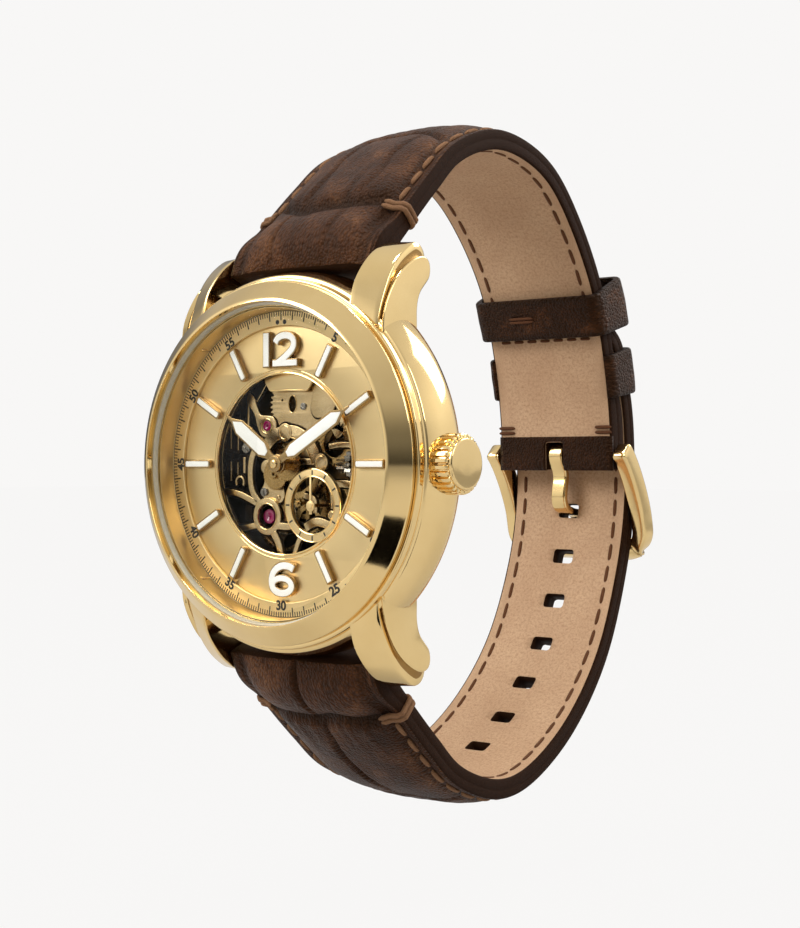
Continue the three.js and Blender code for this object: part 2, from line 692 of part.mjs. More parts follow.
// The place on a strap path, with its directions along the strap and away from the wrist
function station(curve, t, side) {
  const point = curve.getPointAt(t);
  const along = curve.getTangentAt(t);
  const out = new THREE.Vector3(0, -along.z, along.y).multiplyScalar(side);
  return { point, along, out };
}

function buckleOuter(t, gap) {
  const { point, out } = station(bucklePath, t, BUCKLE_SIDE);
  const p = point.addScaledVector(out, buckleThickness(t) + gap);
  return [p.y, p.z];
}

// The long half runs under the wrist, then up outside the buckle half to its tip
const tail = [0.955, 0.9, 0.85, 0.8, 0.75].map((t) => buckleOuter(t, LAYER_GAP));
const longPath = sideCurve([
  [5.7, -21.0], [7.0, -24.0], [9.8, -27.0], [15.2, -32.1], [19.7, -35.8], [27.7, -38.6],
  [33.8, -38.2], [43.6, -33.5], [52.1, -25.2], [57.4, -14.4], [59.4, -6.0], ...tail,
]);

// A band of leather along a path: four corners at every step, closed at both ends
function band(curve, side, width, thickness) {
  const corners = [];
  for (let i = 0; i <= STRAP_STEPS; i += 1) {
    const t = i / STRAP_STEPS;
    const { point, out } = station(curve, t, side);
    const half = (side * width(t)) / 2;
    const outer = point.clone().addScaledVector(out, thickness(t));
    corners.push([-half, point.y, point.z], [half, point.y, point.z]);
    corners.push([half, outer.y, outer.z], [-half, outer.y, outer.z]);
  }
  const index = [0, 1, 2, 0, 2, 3];
  for (let i = 0; i < STRAP_STEPS; i += 1) {
    for (let k = 0; k < 4; k += 1) {
      const a = i * 4 + k;
      const b = i * 4 + ((k + 1) % 4);
      index.push(a, a + 4, b, b, a + 4, b + 4);
    }
  }
  const end = STRAP_STEPS * 4;
  index.push(end, end + 2, end + 1, end, end + 3, end + 2);
  const geometry = new THREE.BufferGeometry();
  geometry.setAttribute('position', new THREE.Float32BufferAttribute(corners.flat(), 3));
  geometry.setIndex(index);
  return geometry;
}

// Moves a solid drawn in [x, away from the wrist, back along the strap] onto a path
function onPath(geometry, curve, t, side) {
  const { point, along, out } = station(curve, t, side);
  const across = new THREE.Vector3(side, 0, 0);
  const turn = new THREE.Matrix4().makeBasis(across, out, along.negate());
  return geometry.applyMatrix4(turn.setPosition(point));
}

function pathAtHeight(curve, z, from, to) {
  let best = from;
  for (let t = from; t <= to; t += 0.001) {
    const here = Math.abs(curve.getPointAt(t).z - z);
    if (here < Math.abs(curve.getPointAt(best).z - z)) best = t;
  }
  return best;
}

const HOLES = 7;
const HOLE_PITCH = 6.5;
const HOLE_WIDTH = 3.2;
const HOLE_LENGTH = 2.3;
const FIRST_HOLE_Z = -6.6;

function strapLongHalf() {
  const width = (t) => strapWidth(t) - 5.5 * eased(t, 0.96, 1);
  const leather = band(longPath, LONG_SIDE, width, longThickness);
  const length = longPath.getLength();
  const first = pathAtHeight(longPath, FIRST_HOLE_Z, 0.5, 0.95);
  const tools = [rod(0.9, -12, 12, SPRING_BAR[0], -SPRING_BAR[1], 12)];
  for (let i = 0; i < HOLES; i += 1) {
    const hole = new THREE.BoxGeometry(HOLE_WIDTH, 12, HOLE_LENGTH);
    tools.push(onPath(hole, longPath, first - (i * HOLE_PITCH) / length, LONG_SIDE));
  }
  return cut(leather, ...tools);
}

function strapBuckleHalf() {
  const leather = band(bucklePath, BUCKLE_SIDE, strapWidth, buckleThickness);
  const [barY, barZ] = BUCKLE_BAR;
  return cut(
    leather,
    rod(0.9, -12, 12, ...SPRING_BAR, 12),
    rod(0.85, -12, 12, barY, barZ, 12),
    block(-1.5, 1.5, 50, 62, -3, barZ + 1.9),
  );
}

place('strap_buckle_half', strapBuckleHalf(), LEATHER, CENTRE, strap);
place('strap_long_half', strapLongHalf(), LEATHER, CENTRE, strap);

// Keepers: loops of leather that hold the long half's tail against the buckle half
const KEEPER_HALF = 9.3;
const KEEPER_LEATHER = 0.95;
const KEEPER_LENGTH = 5.8;

function keeper(bottom, innerBottom, t) {
  const top = buckleThickness(t) + LAYER_GAP + longThickness(1) + 0.35;
  const edge = KEEPER_HALF + KEEPER_LEATHER;
  const outline = polygon([
    [-edge, bottom], [edge, bottom], [edge, top + KEEPER_LEATHER], [-edge, top + KEEPER_LEATHER],
  ]);
  const depth = { depth: KEEPER_LENGTH, bevelEnabled: false };
  const body = new THREE.ExtrudeGeometry(outline, depth).translate(0, 0, -KEEPER_LENGTH / 2);
  const inside = block(-KEEPER_HALF, KEEPER_HALF, innerBottom, top, -9, 9);
  return onPath(cut(body, inside), bucklePath, t, BUCKLE_SIDE);
}

const fixedKeeperAt = pathAtHeight(bucklePath, 11.8, 0.7, 1);
const floatingKeeperAt = pathAtHeight(bucklePath, 20.2, 0.7, 1);
place('fixed_keeper', keeper(0.4, -5, fixedKeeperAt), LEATHER, CENTRE, strap);
place('floating_keeper', keeper(-0.5 - KEEPER_LEATHER, -0.5, floatingKeeperAt), LEATHER,
  CENTRE, strap);

// Pin buckle
const ARM_INNER = 9.4;
const ARM_OUTER = 11.5;
const END_BAR = [62.3, -12.2];

function buckleSide(points, width, x0, x1) {
  const geometry = new THREE.ExtrudeGeometry(stroke(points, width), {
    depth: x1 - x0, bevelEnabled: false,
  });
  const turn = new THREE.Matrix4().makeBasis(
    new THREE.Vector3(0, 1, 0), new THREE.Vector3(0, 0, 1), new THREE.Vector3(1, 0, 0),
  );
  return geometry.applyMatrix4(turn).translate(x0, 0, 0);
}

function buckleFrame() {
  const [barY, barZ] = BUCKLE_BAR;
  const arm = [
    [barY - 1.2, barZ + 0.8], [barY - 0.1, barZ - 0.2], [58.5, -1.0], [60.0, -3.6], [61.3, -6.6],
    [61.9, -9.2], END_BAR,
  ];
  const frame = join(
    buckleSide(arm, 2.3, ARM_INNER, ARM_OUTER),
    buckleSide(arm, 2.3, -ARM_OUTER, -ARM_INNER),
    rod(1.2, -ARM_OUTER, ARM_OUTER, ...END_BAR, 14),
  );
  return cut(frame, rod(0.75, -10.9, 10.9, barY, barZ, 12));
}

function buckleTongue() {
  const [barY, barZ] = BUCKLE_BAR;
  const arm = [
    [barY - 1.2, barZ - 0.7], [57.3, -1.8], [57.1, -3.2], [56.95, -4.9], [57.45, -6.0],
    [59.0, -6.6], [61.4, -7.1], [63.2, -8.7], [64.1, -11.0], [64.2, -13.2],
  ];
  return cut(
    join(buckleSide(arm, 0.95, -1.1, 1.1), rod(1.45, -1.1, 1.1, barY, barZ, 16)),
    rod(0.72, -2, 2, barY, barZ, 12),
  );
}

place('buckle_frame', buckleFrame(), POLISHED_GOLD, CENTRE, strap);
place('buckle_tongue', buckleTongue(), POLISHED_GOLD, CENTRE, strap);
place('buckle_bar', rod(0.65, -10.7, 10.7, ...BUCKLE_BAR, 12), STEEL, CENTRE, strap);

export default watch;
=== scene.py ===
"""Skeleton wristwatch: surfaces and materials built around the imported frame.

Shapes are drawn in millimetres. The head frame has x to 3 o'clock, y to 12 o'clock and z out
of the dial; the strap frame has x across, n away from the wrist and s along the leather.
"""
import bisect
import math
import bmesh
import bpy
from mathutils import Matrix, Vector, noise

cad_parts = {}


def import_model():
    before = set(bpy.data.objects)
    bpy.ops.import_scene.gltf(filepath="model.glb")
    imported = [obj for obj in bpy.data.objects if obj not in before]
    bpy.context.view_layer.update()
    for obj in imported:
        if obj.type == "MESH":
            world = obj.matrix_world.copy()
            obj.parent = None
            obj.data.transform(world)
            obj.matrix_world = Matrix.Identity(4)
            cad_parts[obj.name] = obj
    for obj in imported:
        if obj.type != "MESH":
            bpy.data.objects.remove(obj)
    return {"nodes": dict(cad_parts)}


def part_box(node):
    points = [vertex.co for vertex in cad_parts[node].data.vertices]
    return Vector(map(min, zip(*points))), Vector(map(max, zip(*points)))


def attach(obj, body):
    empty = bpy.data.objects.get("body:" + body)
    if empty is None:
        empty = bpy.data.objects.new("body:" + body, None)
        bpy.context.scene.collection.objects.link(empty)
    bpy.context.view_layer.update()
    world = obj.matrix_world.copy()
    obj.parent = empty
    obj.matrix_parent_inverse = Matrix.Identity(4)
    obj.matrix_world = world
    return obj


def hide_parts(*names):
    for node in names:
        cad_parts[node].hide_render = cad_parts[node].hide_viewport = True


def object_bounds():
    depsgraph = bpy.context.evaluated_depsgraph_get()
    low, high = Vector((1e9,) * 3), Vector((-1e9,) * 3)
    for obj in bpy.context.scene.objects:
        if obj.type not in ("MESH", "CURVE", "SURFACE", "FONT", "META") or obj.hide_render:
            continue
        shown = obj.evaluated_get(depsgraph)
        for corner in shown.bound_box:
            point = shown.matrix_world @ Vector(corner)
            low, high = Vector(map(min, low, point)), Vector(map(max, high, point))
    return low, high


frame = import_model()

cad_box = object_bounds()
MM = 0.001

# Driving dimensions, millimetres
DIAL_THICKNESS = 0.4
DIAL_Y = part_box("dial")[1].y / MM - DIAL_THICKNESS
OPENING_R = 10.3
DIAL_R = 17.65
STEM_Z = -2.5
LUG_GAP = 22.3
SMALL_SECONDS = (4.53, -4.65)
HOUR_ANGLE = 305
MINUTE_ANGLE = 60
STRAP_WIDTH = 21.8
STRAP_BACK_WIDTH = 18.4
LAYER_GAP = 0.35
HOLE_PITCH = 6.5
HOLES = 7
FIRST_HOLE_Y = -6.6
FIXED_KEEPER_Y = 11.8
FLOATING_KEEPER_Y = 20.2
CASE_SEGMENTS = 192
CLOCKWISE = -1


def srgb(r, g, b):
    """A colour given in 0-255 screen values, as linear values."""
    def channel(c):
        c /= 255
        return c / 12.92 if c <= 0.04045 else ((c + 0.055) / 1.055) ** 2.4
    return (channel(r), channel(g), channel(b), 1.0)


def smoothstep(x, lo, hi):
    t = min(max((x - lo) / (hi - lo), 0.0), 1.0)
    return t * t * (3 - 2 * t)


def circle_angles(steps):
    return [2 * math.pi * k / steps for k in range(steps)]


# ---------------------------------------------------------------- materials
class Nodes:
    """A node tree built one node at a time."""

    def __init__(self, tree):
        self.tree = tree

    def add(self, kind, inputs=None, **settings):
        node = self.tree.nodes.new(kind)
        for key, value in settings.items():
            setattr(node, key, value)
        for key, value in (inputs or {}).items():
            self.feed(node, key, value)
        return node

    def feed(self, node, key, value):
        if isinstance(value, bpy.types.NodeSocket):
            self.tree.links.new(value, node.inputs[key])
        else:
            node.inputs[key].default_value = value

    def coords(self, scale=(1, 1, 1), source="Object"):
        place = self.add("ShaderNodeTexCoord").outputs[source]
        return self.add("ShaderNodeMapping", {"Vector": place, "Scale": scale}).outputs["Vector"]

    def noise(self, vector, scale, detail=4.0, roughness=0.6):
        texture = {"Vector": vector, "Scale": scale, "Detail": detail, "Roughness": roughness}
        return self.add("ShaderNodeTexNoise", texture).outputs["Fac"]

    def cells(self, vector, scale):
        texture = {"Vector": vector, "Scale": scale}
        return self.add("ShaderNodeTexVoronoi", texture).outputs["Distance"]

    def ramp(self, factor, stops, interpolation="LINEAR"):
        node = self.add("ShaderNodeValToRGB", {"Fac": factor})
        ramp = node.color_ramp
        ramp.interpolation = interpolation
        while len(ramp.elements) < len(stops):
            ramp.elements.new(0.5)
        for element, (position, colour) in zip(ramp.elements, stops):
            element.position = position
            element.color = colour
        return node.outputs["Color"]

    def scale(self, factor, lo, hi):
        limits = {"Value": factor, "To Min": lo, "To Max": hi}
        return self.add("ShaderNodeMapRange", limits).outputs["Result"]

    def mix(self, factor, a, b):
        node = self.add("ShaderNodeMix", {0: factor, 6: a, 7: b}, data_type="RGBA")
        return node.outputs[2]

    def math(self, operation, a, b=0.0):
        return self.add("ShaderNodeMath", {0: a, 1: b}, operation=operation).outputs[0]

    def weighted(self, *terms):
        """The sum of values, each times its own weight."""
        total = 0.0
        for value, weight in terms:
            total = self.math("ADD", self.math("MULTIPLY", value, weight), total)
        return total

    def bump(self, height, strength, distance):
        inputs = {"Height": height, "Strength": strength, "Distance": distance}
        return self.add("ShaderNodeBump", inputs).outputs["Normal"]


class Shader(Nodes):
    """A node material round one Principled surface."""

    def __init__(self, name):
        self.material = bpy.data.materials.new(name)
        self.material.use_nodes = True
        super().__init__(self.material.node_tree)
        self.surface = self.tree.nodes["Principled BSDF"]
        self.output = self.tree.nodes["Material Output"]

    def set(self, **inputs):
        for key, value in inputs.items():
            self.feed(self.surface, key.replace("_", " "), value)

    def blend_surface(self, factor, a, b):
        """Shows shader a, and shader b by the factor."""
        mixed = self.add("ShaderNodeMixShader", {0: factor, 1: a.outputs[0], 2: b.outputs[0]})
        self.feed(self.output, "Surface", mixed.outputs[0])


GOLD_LIGHT = srgb(245, 215, 156)
GOLD = srgb(230, 197, 134)
BACKDROP = srgb(248, 247, 246)


def polished_metal(name, light, deep, rough=0.10):
    """Polished plating: slight colour drift, faint smears and hairline scratches."""
    s = Shader(name)
    drift = s.noise(s.coords((1, 1, 1)), 180.0, 3.0)
    smear = s.noise(s.coords((1, 1, 3)), 600.0, 5.0)
    hair = s.noise(s.coords((1, 12, 1)), 2600.0, 2.0)
    s.set(
        Base_Color=s.mix(drift, deep, light), Metallic=1.0,
        Roughness=s.scale(smear, rough * 0.75, rough * 1.5),
        Normal=s.bump(hair, 0.03, 0.00002),
    )
    return s.material


def brushed_metal(name, light, deep, rough=0.3, along=(1, 1, 1)):
    """Metal with a fine straight grain; along stretches the grain by axis."""
    s = Shader(name)
    grain = s.noise(s.coords(along), 3200.0, 3.0)
    cloud = s.noise(s.coords(), 400.0, 4.0)
    s.set(
        Base_Color=s.mix(cloud, deep, light), Metallic=1.0,
        Roughness=s.scale(grain, rough * 0.7, rough * 1.4),
        Normal=s.bump(grain, 0.15, 0.00003),
    )
    return s.material


def sunray_metal(name, light, deep, rough=0.32):
    """A dial brushed outwards from its centre, so light fans out in rays; lighter rays and broad light
    and dark wedges are also painted into its colour, as reflection.
    """
    s = Shader(name)
    place = s.add("ShaderNodeSeparateXYZ", {0: s.coords()})
    angle = s.math("ARCTAN2", place.outputs["Z"], place.outputs["X"])
    circle = s.add("ShaderNodeCombineXYZ", {0: s.math("COSINE", angle), 1: s.math("SINE", angle)})
    rays = s.noise(circle.outputs[0], 90.0, 6.0, 0.75)
    broad = s.noise(circle.outputs[0], 2.2, 2.0)
    grain = s.noise(s.coords(), 5200.0, 2.0)
    tangent = s.add("ShaderNodeTangent", direction_type="RADIAL", axis="Y")
    # Painted reflection in the colour: broad light and dark wedges round the dial, then lighter rays.
    colour = s.mix(broad, deep, light)
    s.set(
        Base_Color=s.mix(s.scale(rays, 0.0, 0.35), colour, GOLD_LIGHT), Metallic=1.0,
        Roughness=s.scale(rays, rough * 0.8, rough * 1.25), Anisotropic=0.6,
        Tangent=tangent.outputs["Tangent"],
        Normal=s.bump(s.math("ADD", rays, s.math("MULTIPLY", grain, 0.3)), 0.12, 0.00003),
    )
    return s.material


def lume():
    s = Shader("white_lume")
    grains = s.noise(s.coords(), 6000.0, 4.0)
    cloud = s.noise(s.coords(), 500.0, 3.0)
    white = s.mix(cloud, srgb(247, 245, 238), srgb(255, 255, 252))
    # The faint emission is painted light: a glow that keeps the fill bright white.
    s.set(
        Base_Color=white, Roughness=s.scale(grains, 0.45, 0.7),
        Emission_Color=white, Emission_Strength=0.08, Normal=s.bump(grains, 0.12, 0.00003),
    )
    return s.material


def speckled(name, dark, light, scale, detail, rough, bump):
    """A plain surface with a fine speckle; rough is its range, bump its strength and depth."""
    s = Shader(name)
    speck = s.noise(s.coords(), scale, detail)
    s.set(
        Base_Color=s.mix(speck, dark, light), Roughness=s.scale(speck, *rough),
        Normal=s.bump(speck, *bump),
    )
    return s.material


def ruby():
    s = Shader("ruby")
    veil = s.noise(s.coords(), 1500.0, 3.0)
    # The faint emission is painted light: a glow in the stone.
    s.set(
        Base_Color=s.mix(veil, srgb(84, 4, 40), srgb(168, 20, 92)), Roughness=0.06,
        Coat_Weight=1.0, Coat_Roughness=0.03,
        Emission_Color=srgb(190, 20, 90), Emission_Strength=0.05,
    )
    return s.material


def glass():
    """Clear crystal: sees straight through, mirrors more at a slant, faint tint at its rim."""
    s = Shader("crystal_glass")
    smear = s.noise(s.coords(), 220.0, 4.0)
    facing = s.add("ShaderNodeFresnel", {"IOR": 1.45}).outputs[0]
    white = (1, 1, 1, 1)
    shine = s.add("ShaderNodeBsdfGlossy", {"Color": white, "Roughness": s.scale(smear, 0.01, 0.04)})
    clear = s.add("ShaderNodeBsdfTransparent", {"Color": s.mix(facing, white, srgb(240, 240, 236))})
    s.blend_surface(s.math("MULTIPLY", facing, 0.015), clear, shine)
    return s.material


def leather(name, dark, mid, light):
    """Oiled leather. uv is in millimetres; the point attribute 'crease' darkens the colour towards near
    black, mostly painted shade in creases, grooves and hollows.
    """
    s = Shader(name)
    uv = s.coords(source="UV")
    crease = s.add("ShaderNodeAttribute", attribute_name="crease").outputs["Fac"]
    wrinkle = s.noise(s.coords((1.0, 0.3, 1.0), "UV"), 2.4, 5.0, 0.7)
    pebbles = s.cells(uv, 3.2)
    fine = s.noise(uv, 2.6, 4.0, 0.8)
    cloud = s.noise(uv, 0.16, 3.0)
    tone = s.weighted((cloud, 0.6), (wrinkle, 0.12), (fine, 0.28))
    base = s.ramp(tone, [(0.38, dark), (0.50, mid), (0.64, light)])
    speck = s.mix(s.scale(pebbles, -0.25, 0.8), base, dark)
    height = s.weighted((wrinkle, 0.5), (pebbles, -0.9), (fine, 0.6))
    s.set(
        Base_Color=s.mix(s.math("MULTIPLY", crease, 0.92), speck, srgb(14, 8, 5)),
        Roughness=s.scale(fine, 0.32, 0.6), Normal=s.bump(height, 0.9, 0.0003),
        Specular_IOR_Level=0.4, Specular_Tint=srgb(214, 150, 102),
    )
    return s.material


def lining():
    """Tan lining leather with a fine even grain."""
    s = Shader("strap_lining")
    uv = s.coords(source="UV")
    grain = s.noise(uv, 2.6, 6.0, 0.85)
    base = s.ramp(s.noise(uv, 0.12, 3.0), [(0.3, srgb(188, 153, 120)), (0.7, srgb(201, 167, 133))])
    colour = s.mix(s.scale(grain, -2.2, 2.6), base, srgb(158, 121, 88))
    pits = s.math("LESS_THAN", s.cells(uv, 2.6), 0.12)
    s.set(
        Base_Color=s.mix(s.math("MULTIPLY", pits, 0.3), colour, srgb(120, 88, 62)),
        Roughness=s.scale(grain, 0.62, 0.85), Specular_IOR_Level=0.25,
        Normal=s.bump(grain, 0.5, 0.00014),
    )
    return s.material


def edge_leather():
    """Cut and painted edge: dark, with fibres running along the strap."""
    s = Shader("leather_edge")
    fibre = s.noise(s.coords((3.0, 1.0, 1.0), "UV"), 2.4, 6.0, 0.7)
    base = s.ramp(fibre, [(0.3, srgb(16, 9, 5)), (0.62, srgb(44, 26, 15)), (0.85, srgb(88, 58, 36))])
    s.set(
        Base_Color=base, Roughness=s.scale(fibre, 0.6, 0.85), Specular_IOR_Level=0.2,
        Specular_Tint=srgb(150, 96, 60), Normal=s.bump(fibre, 0.6, 0.0002),
    )
    return s.material


def thread(name, dark, light):
    """Waxed thread with a twist, drawn along its own uv; the light and dark along the twist are painted
    highlight and shade.
    """
    s = Shader(name)
    texture = {"Vector": s.coords(source="UV"), "Scale": 2.2, "Distortion": 1.5}
    twist = s.add("ShaderNodeTexWave", texture, bands_direction="DIAGONAL").outputs["Fac"]
    s.set(
        Base_Color=s.mix(twist, dark, light), Roughness=0.7, Specular_IOR_Level=0.2,
        Normal=s.bump(twist, 0.7, 0.00014),
    )
    return s.material


GOLD_POLISHED = polished_metal("gold_polished", GOLD_LIGHT, GOLD, 0.075)
# A darker copy of the polished gold for the deepest faces of the lugs' hollow: painted shade.
GOLD_HOLLOW_SHADE = polished_metal("gold_hollow_painted_shade", srgb(176, 138, 82), srgb(132, 98, 52), 0.16)
GOLD_BUCKLE = polished_metal("gold_buckle", GOLD_LIGHT, GOLD, 0.13)
GOLD_BRIDGE = brushed_metal("gold_bridge", srgb(226, 202, 156), srgb(180, 150, 100), 0.24, (1, 1, 14))
# A darker copy of the bridge gold for the plates that lie deeper: painted shade.
GOLD_LOWER_SHADE = brushed_metal("gold_lower_plate_painted_shade", srgb(150, 126, 86), srgb(96, 74, 44), 0.3, (1, 1, 14))
# A darker copy of the polished gold: painted shade on the sides of the applied markers and numerals;
# the hour and minute hands take it too.
GOLD_EDGE_SHADE = polished_metal("gold_marker_edge_painted_shade", srgb(196, 166, 116), srgb(150, 120, 76), 0.2)
DIAL_GOLD = sunray_metal("gold_sunray", srgb(251, 224, 168), srgb(230, 198, 138))
TRACK_GOLD = sunray_metal("gold_track", srgb(248, 220, 164), srgb(222, 190, 132), 0.36)
# Near-black bronze, mostly painted shade: the deep plates, the columns at the left and the underlays
# round the bridges; the spring bars take it too.
DARK_BRONZE_SHADE = brushed_metal("bronze_dark_painted_shade", srgb(48, 36, 20), srgb(16, 11, 6), 0.36)
BRASS = brushed_metal("brass_wheel", srgb(200, 168, 110), srgb(140, 106, 58), 0.24, (1, 8, 1))
BRASS_DARK = brushed_metal("brass_barrel", srgb(140, 112, 68), srgb(84, 62, 34), 0.3)
STEEL = brushed_metal("steel", srgb(168, 162, 150), srgb(98, 92, 82), 0.24, (1, 8, 1))
BLUE_STEEL = brushed_metal("hairspring_steel", srgb(120, 118, 128), srgb(70, 68, 84), 0.22)
LUME = lume()
INK = speckled("black_ink", srgb(14, 12, 10), srgb(38, 33, 26), 4000.0, 3.0, (0.35, 0.6),
               (0.1, 0.00002))
BLACK = speckled("black_plastic", srgb(16, 15, 14), srgb(34, 31, 28), 2500.0, 4.0, (0.4, 0.65),
                 (0.2, 0.00004))
PALE_SEAL = speckled("pale_seal", srgb(206, 200, 186), srgb(232, 228, 218), 3000.0, 3.0, (0.35, 0.55),
                     (0.1, 0.00002))
RUBY = ruby()
GLASS = glass()
LEATHER = leather("strap_leather", srgb(26, 14, 8), srgb(66, 38, 22), srgb(116, 76, 47))
KEEPER_LEATHER = leather("keeper_leather", srgb(14, 7, 4), srgb(36, 19, 10), srgb(96, 58, 32))
FOLD_LEATHER = leather("fold_leather", srgb(14, 7, 4), srgb(34, 17, 9), srgb(70, 40, 22))
LINING = lining()
EDGE = edge_leather()
THREAD = thread("thread_brown", srgb(92, 60, 38), srgb(168, 124, 86))
THREAD_DARK = thread("thread_dark", srgb(62, 34, 18), srgb(128, 82, 50))


# ---------------------------------------------------------------- mesh tools
def head(x, y, z):
    """A point of the head frame, in the row frame in metres."""
    return Vector((x, DIAL_Y - z, y)) * MM


def finish_piece(obj, body, slot, *nodes):
    """Puts a piece on its body; nodes are the plain solids that it takes the place of."""
    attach(obj, body)
    if nodes:
        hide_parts(*nodes)


def link(name, mesh, materials):
    obj = bpy.data.objects.new(name, mesh)
    bpy.context.scene.collection.objects.link(obj)
    for material in materials:
        mesh.materials.append(material)
    return obj


def smooth_shade(mesh, sharp_degrees=35.0):
    """Smooth faces, with an edge kept sharp where it turns more than an angle."""
    bm = bmesh.new()
    bm.from_mesh(mesh)
    bmesh.ops.remove_doubles(bm, verts=bm.verts, dist=1e-7)
    bmesh.ops.recalc_face_normals(bm, faces=bm.faces)
    limit = math.radians(sharp_degrees)
    for face in bm.faces:
        face.smooth = True
    for edge in bm.edges:
        edge.smooth = len(edge.link_faces) == 2 and edge.calc_face_angle(0.0) < limit
    bm.to_mesh(mesh)
    bm.free()


def build(name, points, faces, materials, indices=None, sharp=35.0):
    """A mesh from row-frame points; indices gives each face its material."""
    mesh = bpy.data.meshes.new(name)
    mesh.from_pydata([tuple(p) for p in points], [], faces)
    obj = link(name, mesh, materials)
    if indices:
        mesh.polygons.foreach_set("material_index", indices)
    smooth_shade(mesh, sharp)
    return obj


def tube_faces(rows, size, looped=False):
    """Faces of a tube of rows of points; its two ends are shut unless it is looped."""
    faces = []
    for i in range(rows if looped else rows - 1):
        j = (i + 1) % rows
        for k in range(size):
            m = (k + 1) % size
            faces.append([i * size + k, i * size + m, j * size + m, j * size + k])
    if not looped:
        faces += [list(range(size)), list(range((rows - 1) * size, rows * size))]
    return faces


def merged(parts):
    """One list of points and of faces from several (points, faces) pairs."""
    points, faces = [], []
    for part_points, part_faces in parts:
        start = len(points)
        points += part_points
        faces += [[start + i for i in face] for face in part_faces]
    return points, faces


def fillet(points, radius, steps=4, closed=True):
    """Rounds the corners of an outline with arcs; radius may be one value or one per corner."""
    out = []
    count = len(points)
    radii = radius if isinstance(radius, (list, tuple)) else [radius] * count
    for i, corner in enumerate(points):
        if (not closed and i in (0, count - 1)) or radii[i] <= 0:
            out.append(tuple(corner))
            continue
        c = Vector(corner)
        a = Vector(points[i - 1]) - c
        b = Vector(points[(i + 1) % count]) - c
        reach = min(radii[i], 0.48 * a.length, 0.48 * b.length)
        start = c + a.normalized() * reach
        end = c + b.normalized() * reach
        for k in range(steps + 1):
            t = k / steps
            p = start * (1 - t) ** 2 + c * (2 * t * (1 - t)) + end * t ** 2
            out.append(tuple(p))
    return out


def turned(name, profile, materials, segments=160, centre=(0, 0), sharp=35.0):
    """A solid turned about the dial's normal from a closed outline of (radius, height)."""
    points = []
    for a in circle_angles(segments):
        x, y = math.cos(a), math.sin(a)
        points += [head(centre[0] + r * x, centre[1] + r * y, z) for r, z in profile]
    return build(name, points, turned_faces(profile, segments), materials, sharp=sharp)


def turned_faces(profile, segments):
    """Faces of a turned outline, without those that would lie on its axis."""
    on_axis = {i for i, (r, _) in enumerate(profile) if r < 1e-6}
    count = len(profile)
    return [face for face in tube_faces(segments, count, True)
            if not {face[0] % count, face[1] % count} <= on_axis]


def arc(cx, cy, r, start, end, steps):
    """Points on an arc, with angles in degrees."""
    sweep = [math.radians(start + (end - start) * i / steps) for i in range(steps + 1)]
    return [(cx + r * math.cos(a), cy + r * math.sin(a)) for a in sweep]


def ring(cx, cy, r, steps=48):
    return arc(cx, cy, r, 0, 360, steps)[:-1]


def evaluated_mesh(obj):
    """A new mesh of an object as its modifiers or its curve make it."""
    bpy.context.view_layer.update()
    evaluated = obj.evaluated_get(bpy.context.evaluated_depsgraph_get())
    return bpy.data.meshes.new_from_object(evaluated)


def plate_from_curve(name, curve, low, high, bevel, material, at, turn):
    """A flat curve given thickness and eased edges, stood up in the dial's plane."""
    curve.extrude = max((high - low) / 2 - bevel, 0.0)
    curve.bevel_depth = bevel
    curve.bevel_resolution = 2
    source = bpy.data.objects.new(name, curve)
    bpy.context.scene.collection.objects.link(source)
    mesh = evaluated_mesh(source)
    bpy.data.objects.remove(source)
    bpy.data.curves.remove(curve)
    mesh.transform(Matrix.Scale(MM, 4) @ Matrix.Translation((0, 0, (low + high) / 2)))
    mesh.materials.clear()
    to_head(mesh, at[0], at[1], turn)
    obj = link(name, mesh, [material])
    smooth_shade(mesh)
    return obj


def to_head(mesh, x, y, turn_degrees):
    """Moves a plate drawn in the dial's plane to its place; turn is clockwise."""
    turn = Matrix.Rotation(math.radians(CLOCKWISE * turn_degrees), 4, "Z")
    move = Matrix.Translation((x * MM, y * MM, 0))
    stand = Matrix.Translation((0, DIAL_Y * MM, 0)) @ Matrix.Rotation(math.radians(90), 4, "X")
    mesh.transform(stand @ move @ turn)


def plate(name, outlines, low, high, material, bevel=0.06):
    """A plate from outlines (the first is the outside, the rest are holes) with eased edges."""
    curve = bpy.data.curves.new(name, "CURVE")
    curve.dimensions = "2D"
    curve.fill_mode = "BOTH"
    curve.offset = -bevel
    for outline in outlines:
        spline = curve.splines.new("POLY")
        spline.points.add(len(outline) - 1)
        for point, (x, y) in zip(spline.points, outline):
            point.co = (x, y, 0.0, 1.0)
        spline.use_cyclic_u = True
    return plate_from_curve(name, curve, low, high, bevel, material, (0, 0), 0.0)


def joined(name, objects):
    """One object from several, keeping each one's materials."""
    bpy.ops.object.select_all(action="DESELECT")
    for obj in objects:
        obj.select_set(True)
    bpy.context.view_layer.objects.active = objects[0]
    bpy.ops.object.join()
    objects[0].name = name
    return objects[0]


def cut(obj, cutters):
    for cutter in cutters:
        modifier = obj.modifiers.new("cut", "BOOLEAN")
        modifier.operation = "DIFFERENCE"
        modifier.solver = "EXACT"
        modifier.object = cutter
        modifier.material_mode = "TRANSFER"
    mesh = evaluated_mesh(obj)
    obj.modifiers.clear()
    obj.data = mesh
    for cutter in cutters:
        bpy.data.objects.remove(cutter)
    return obj


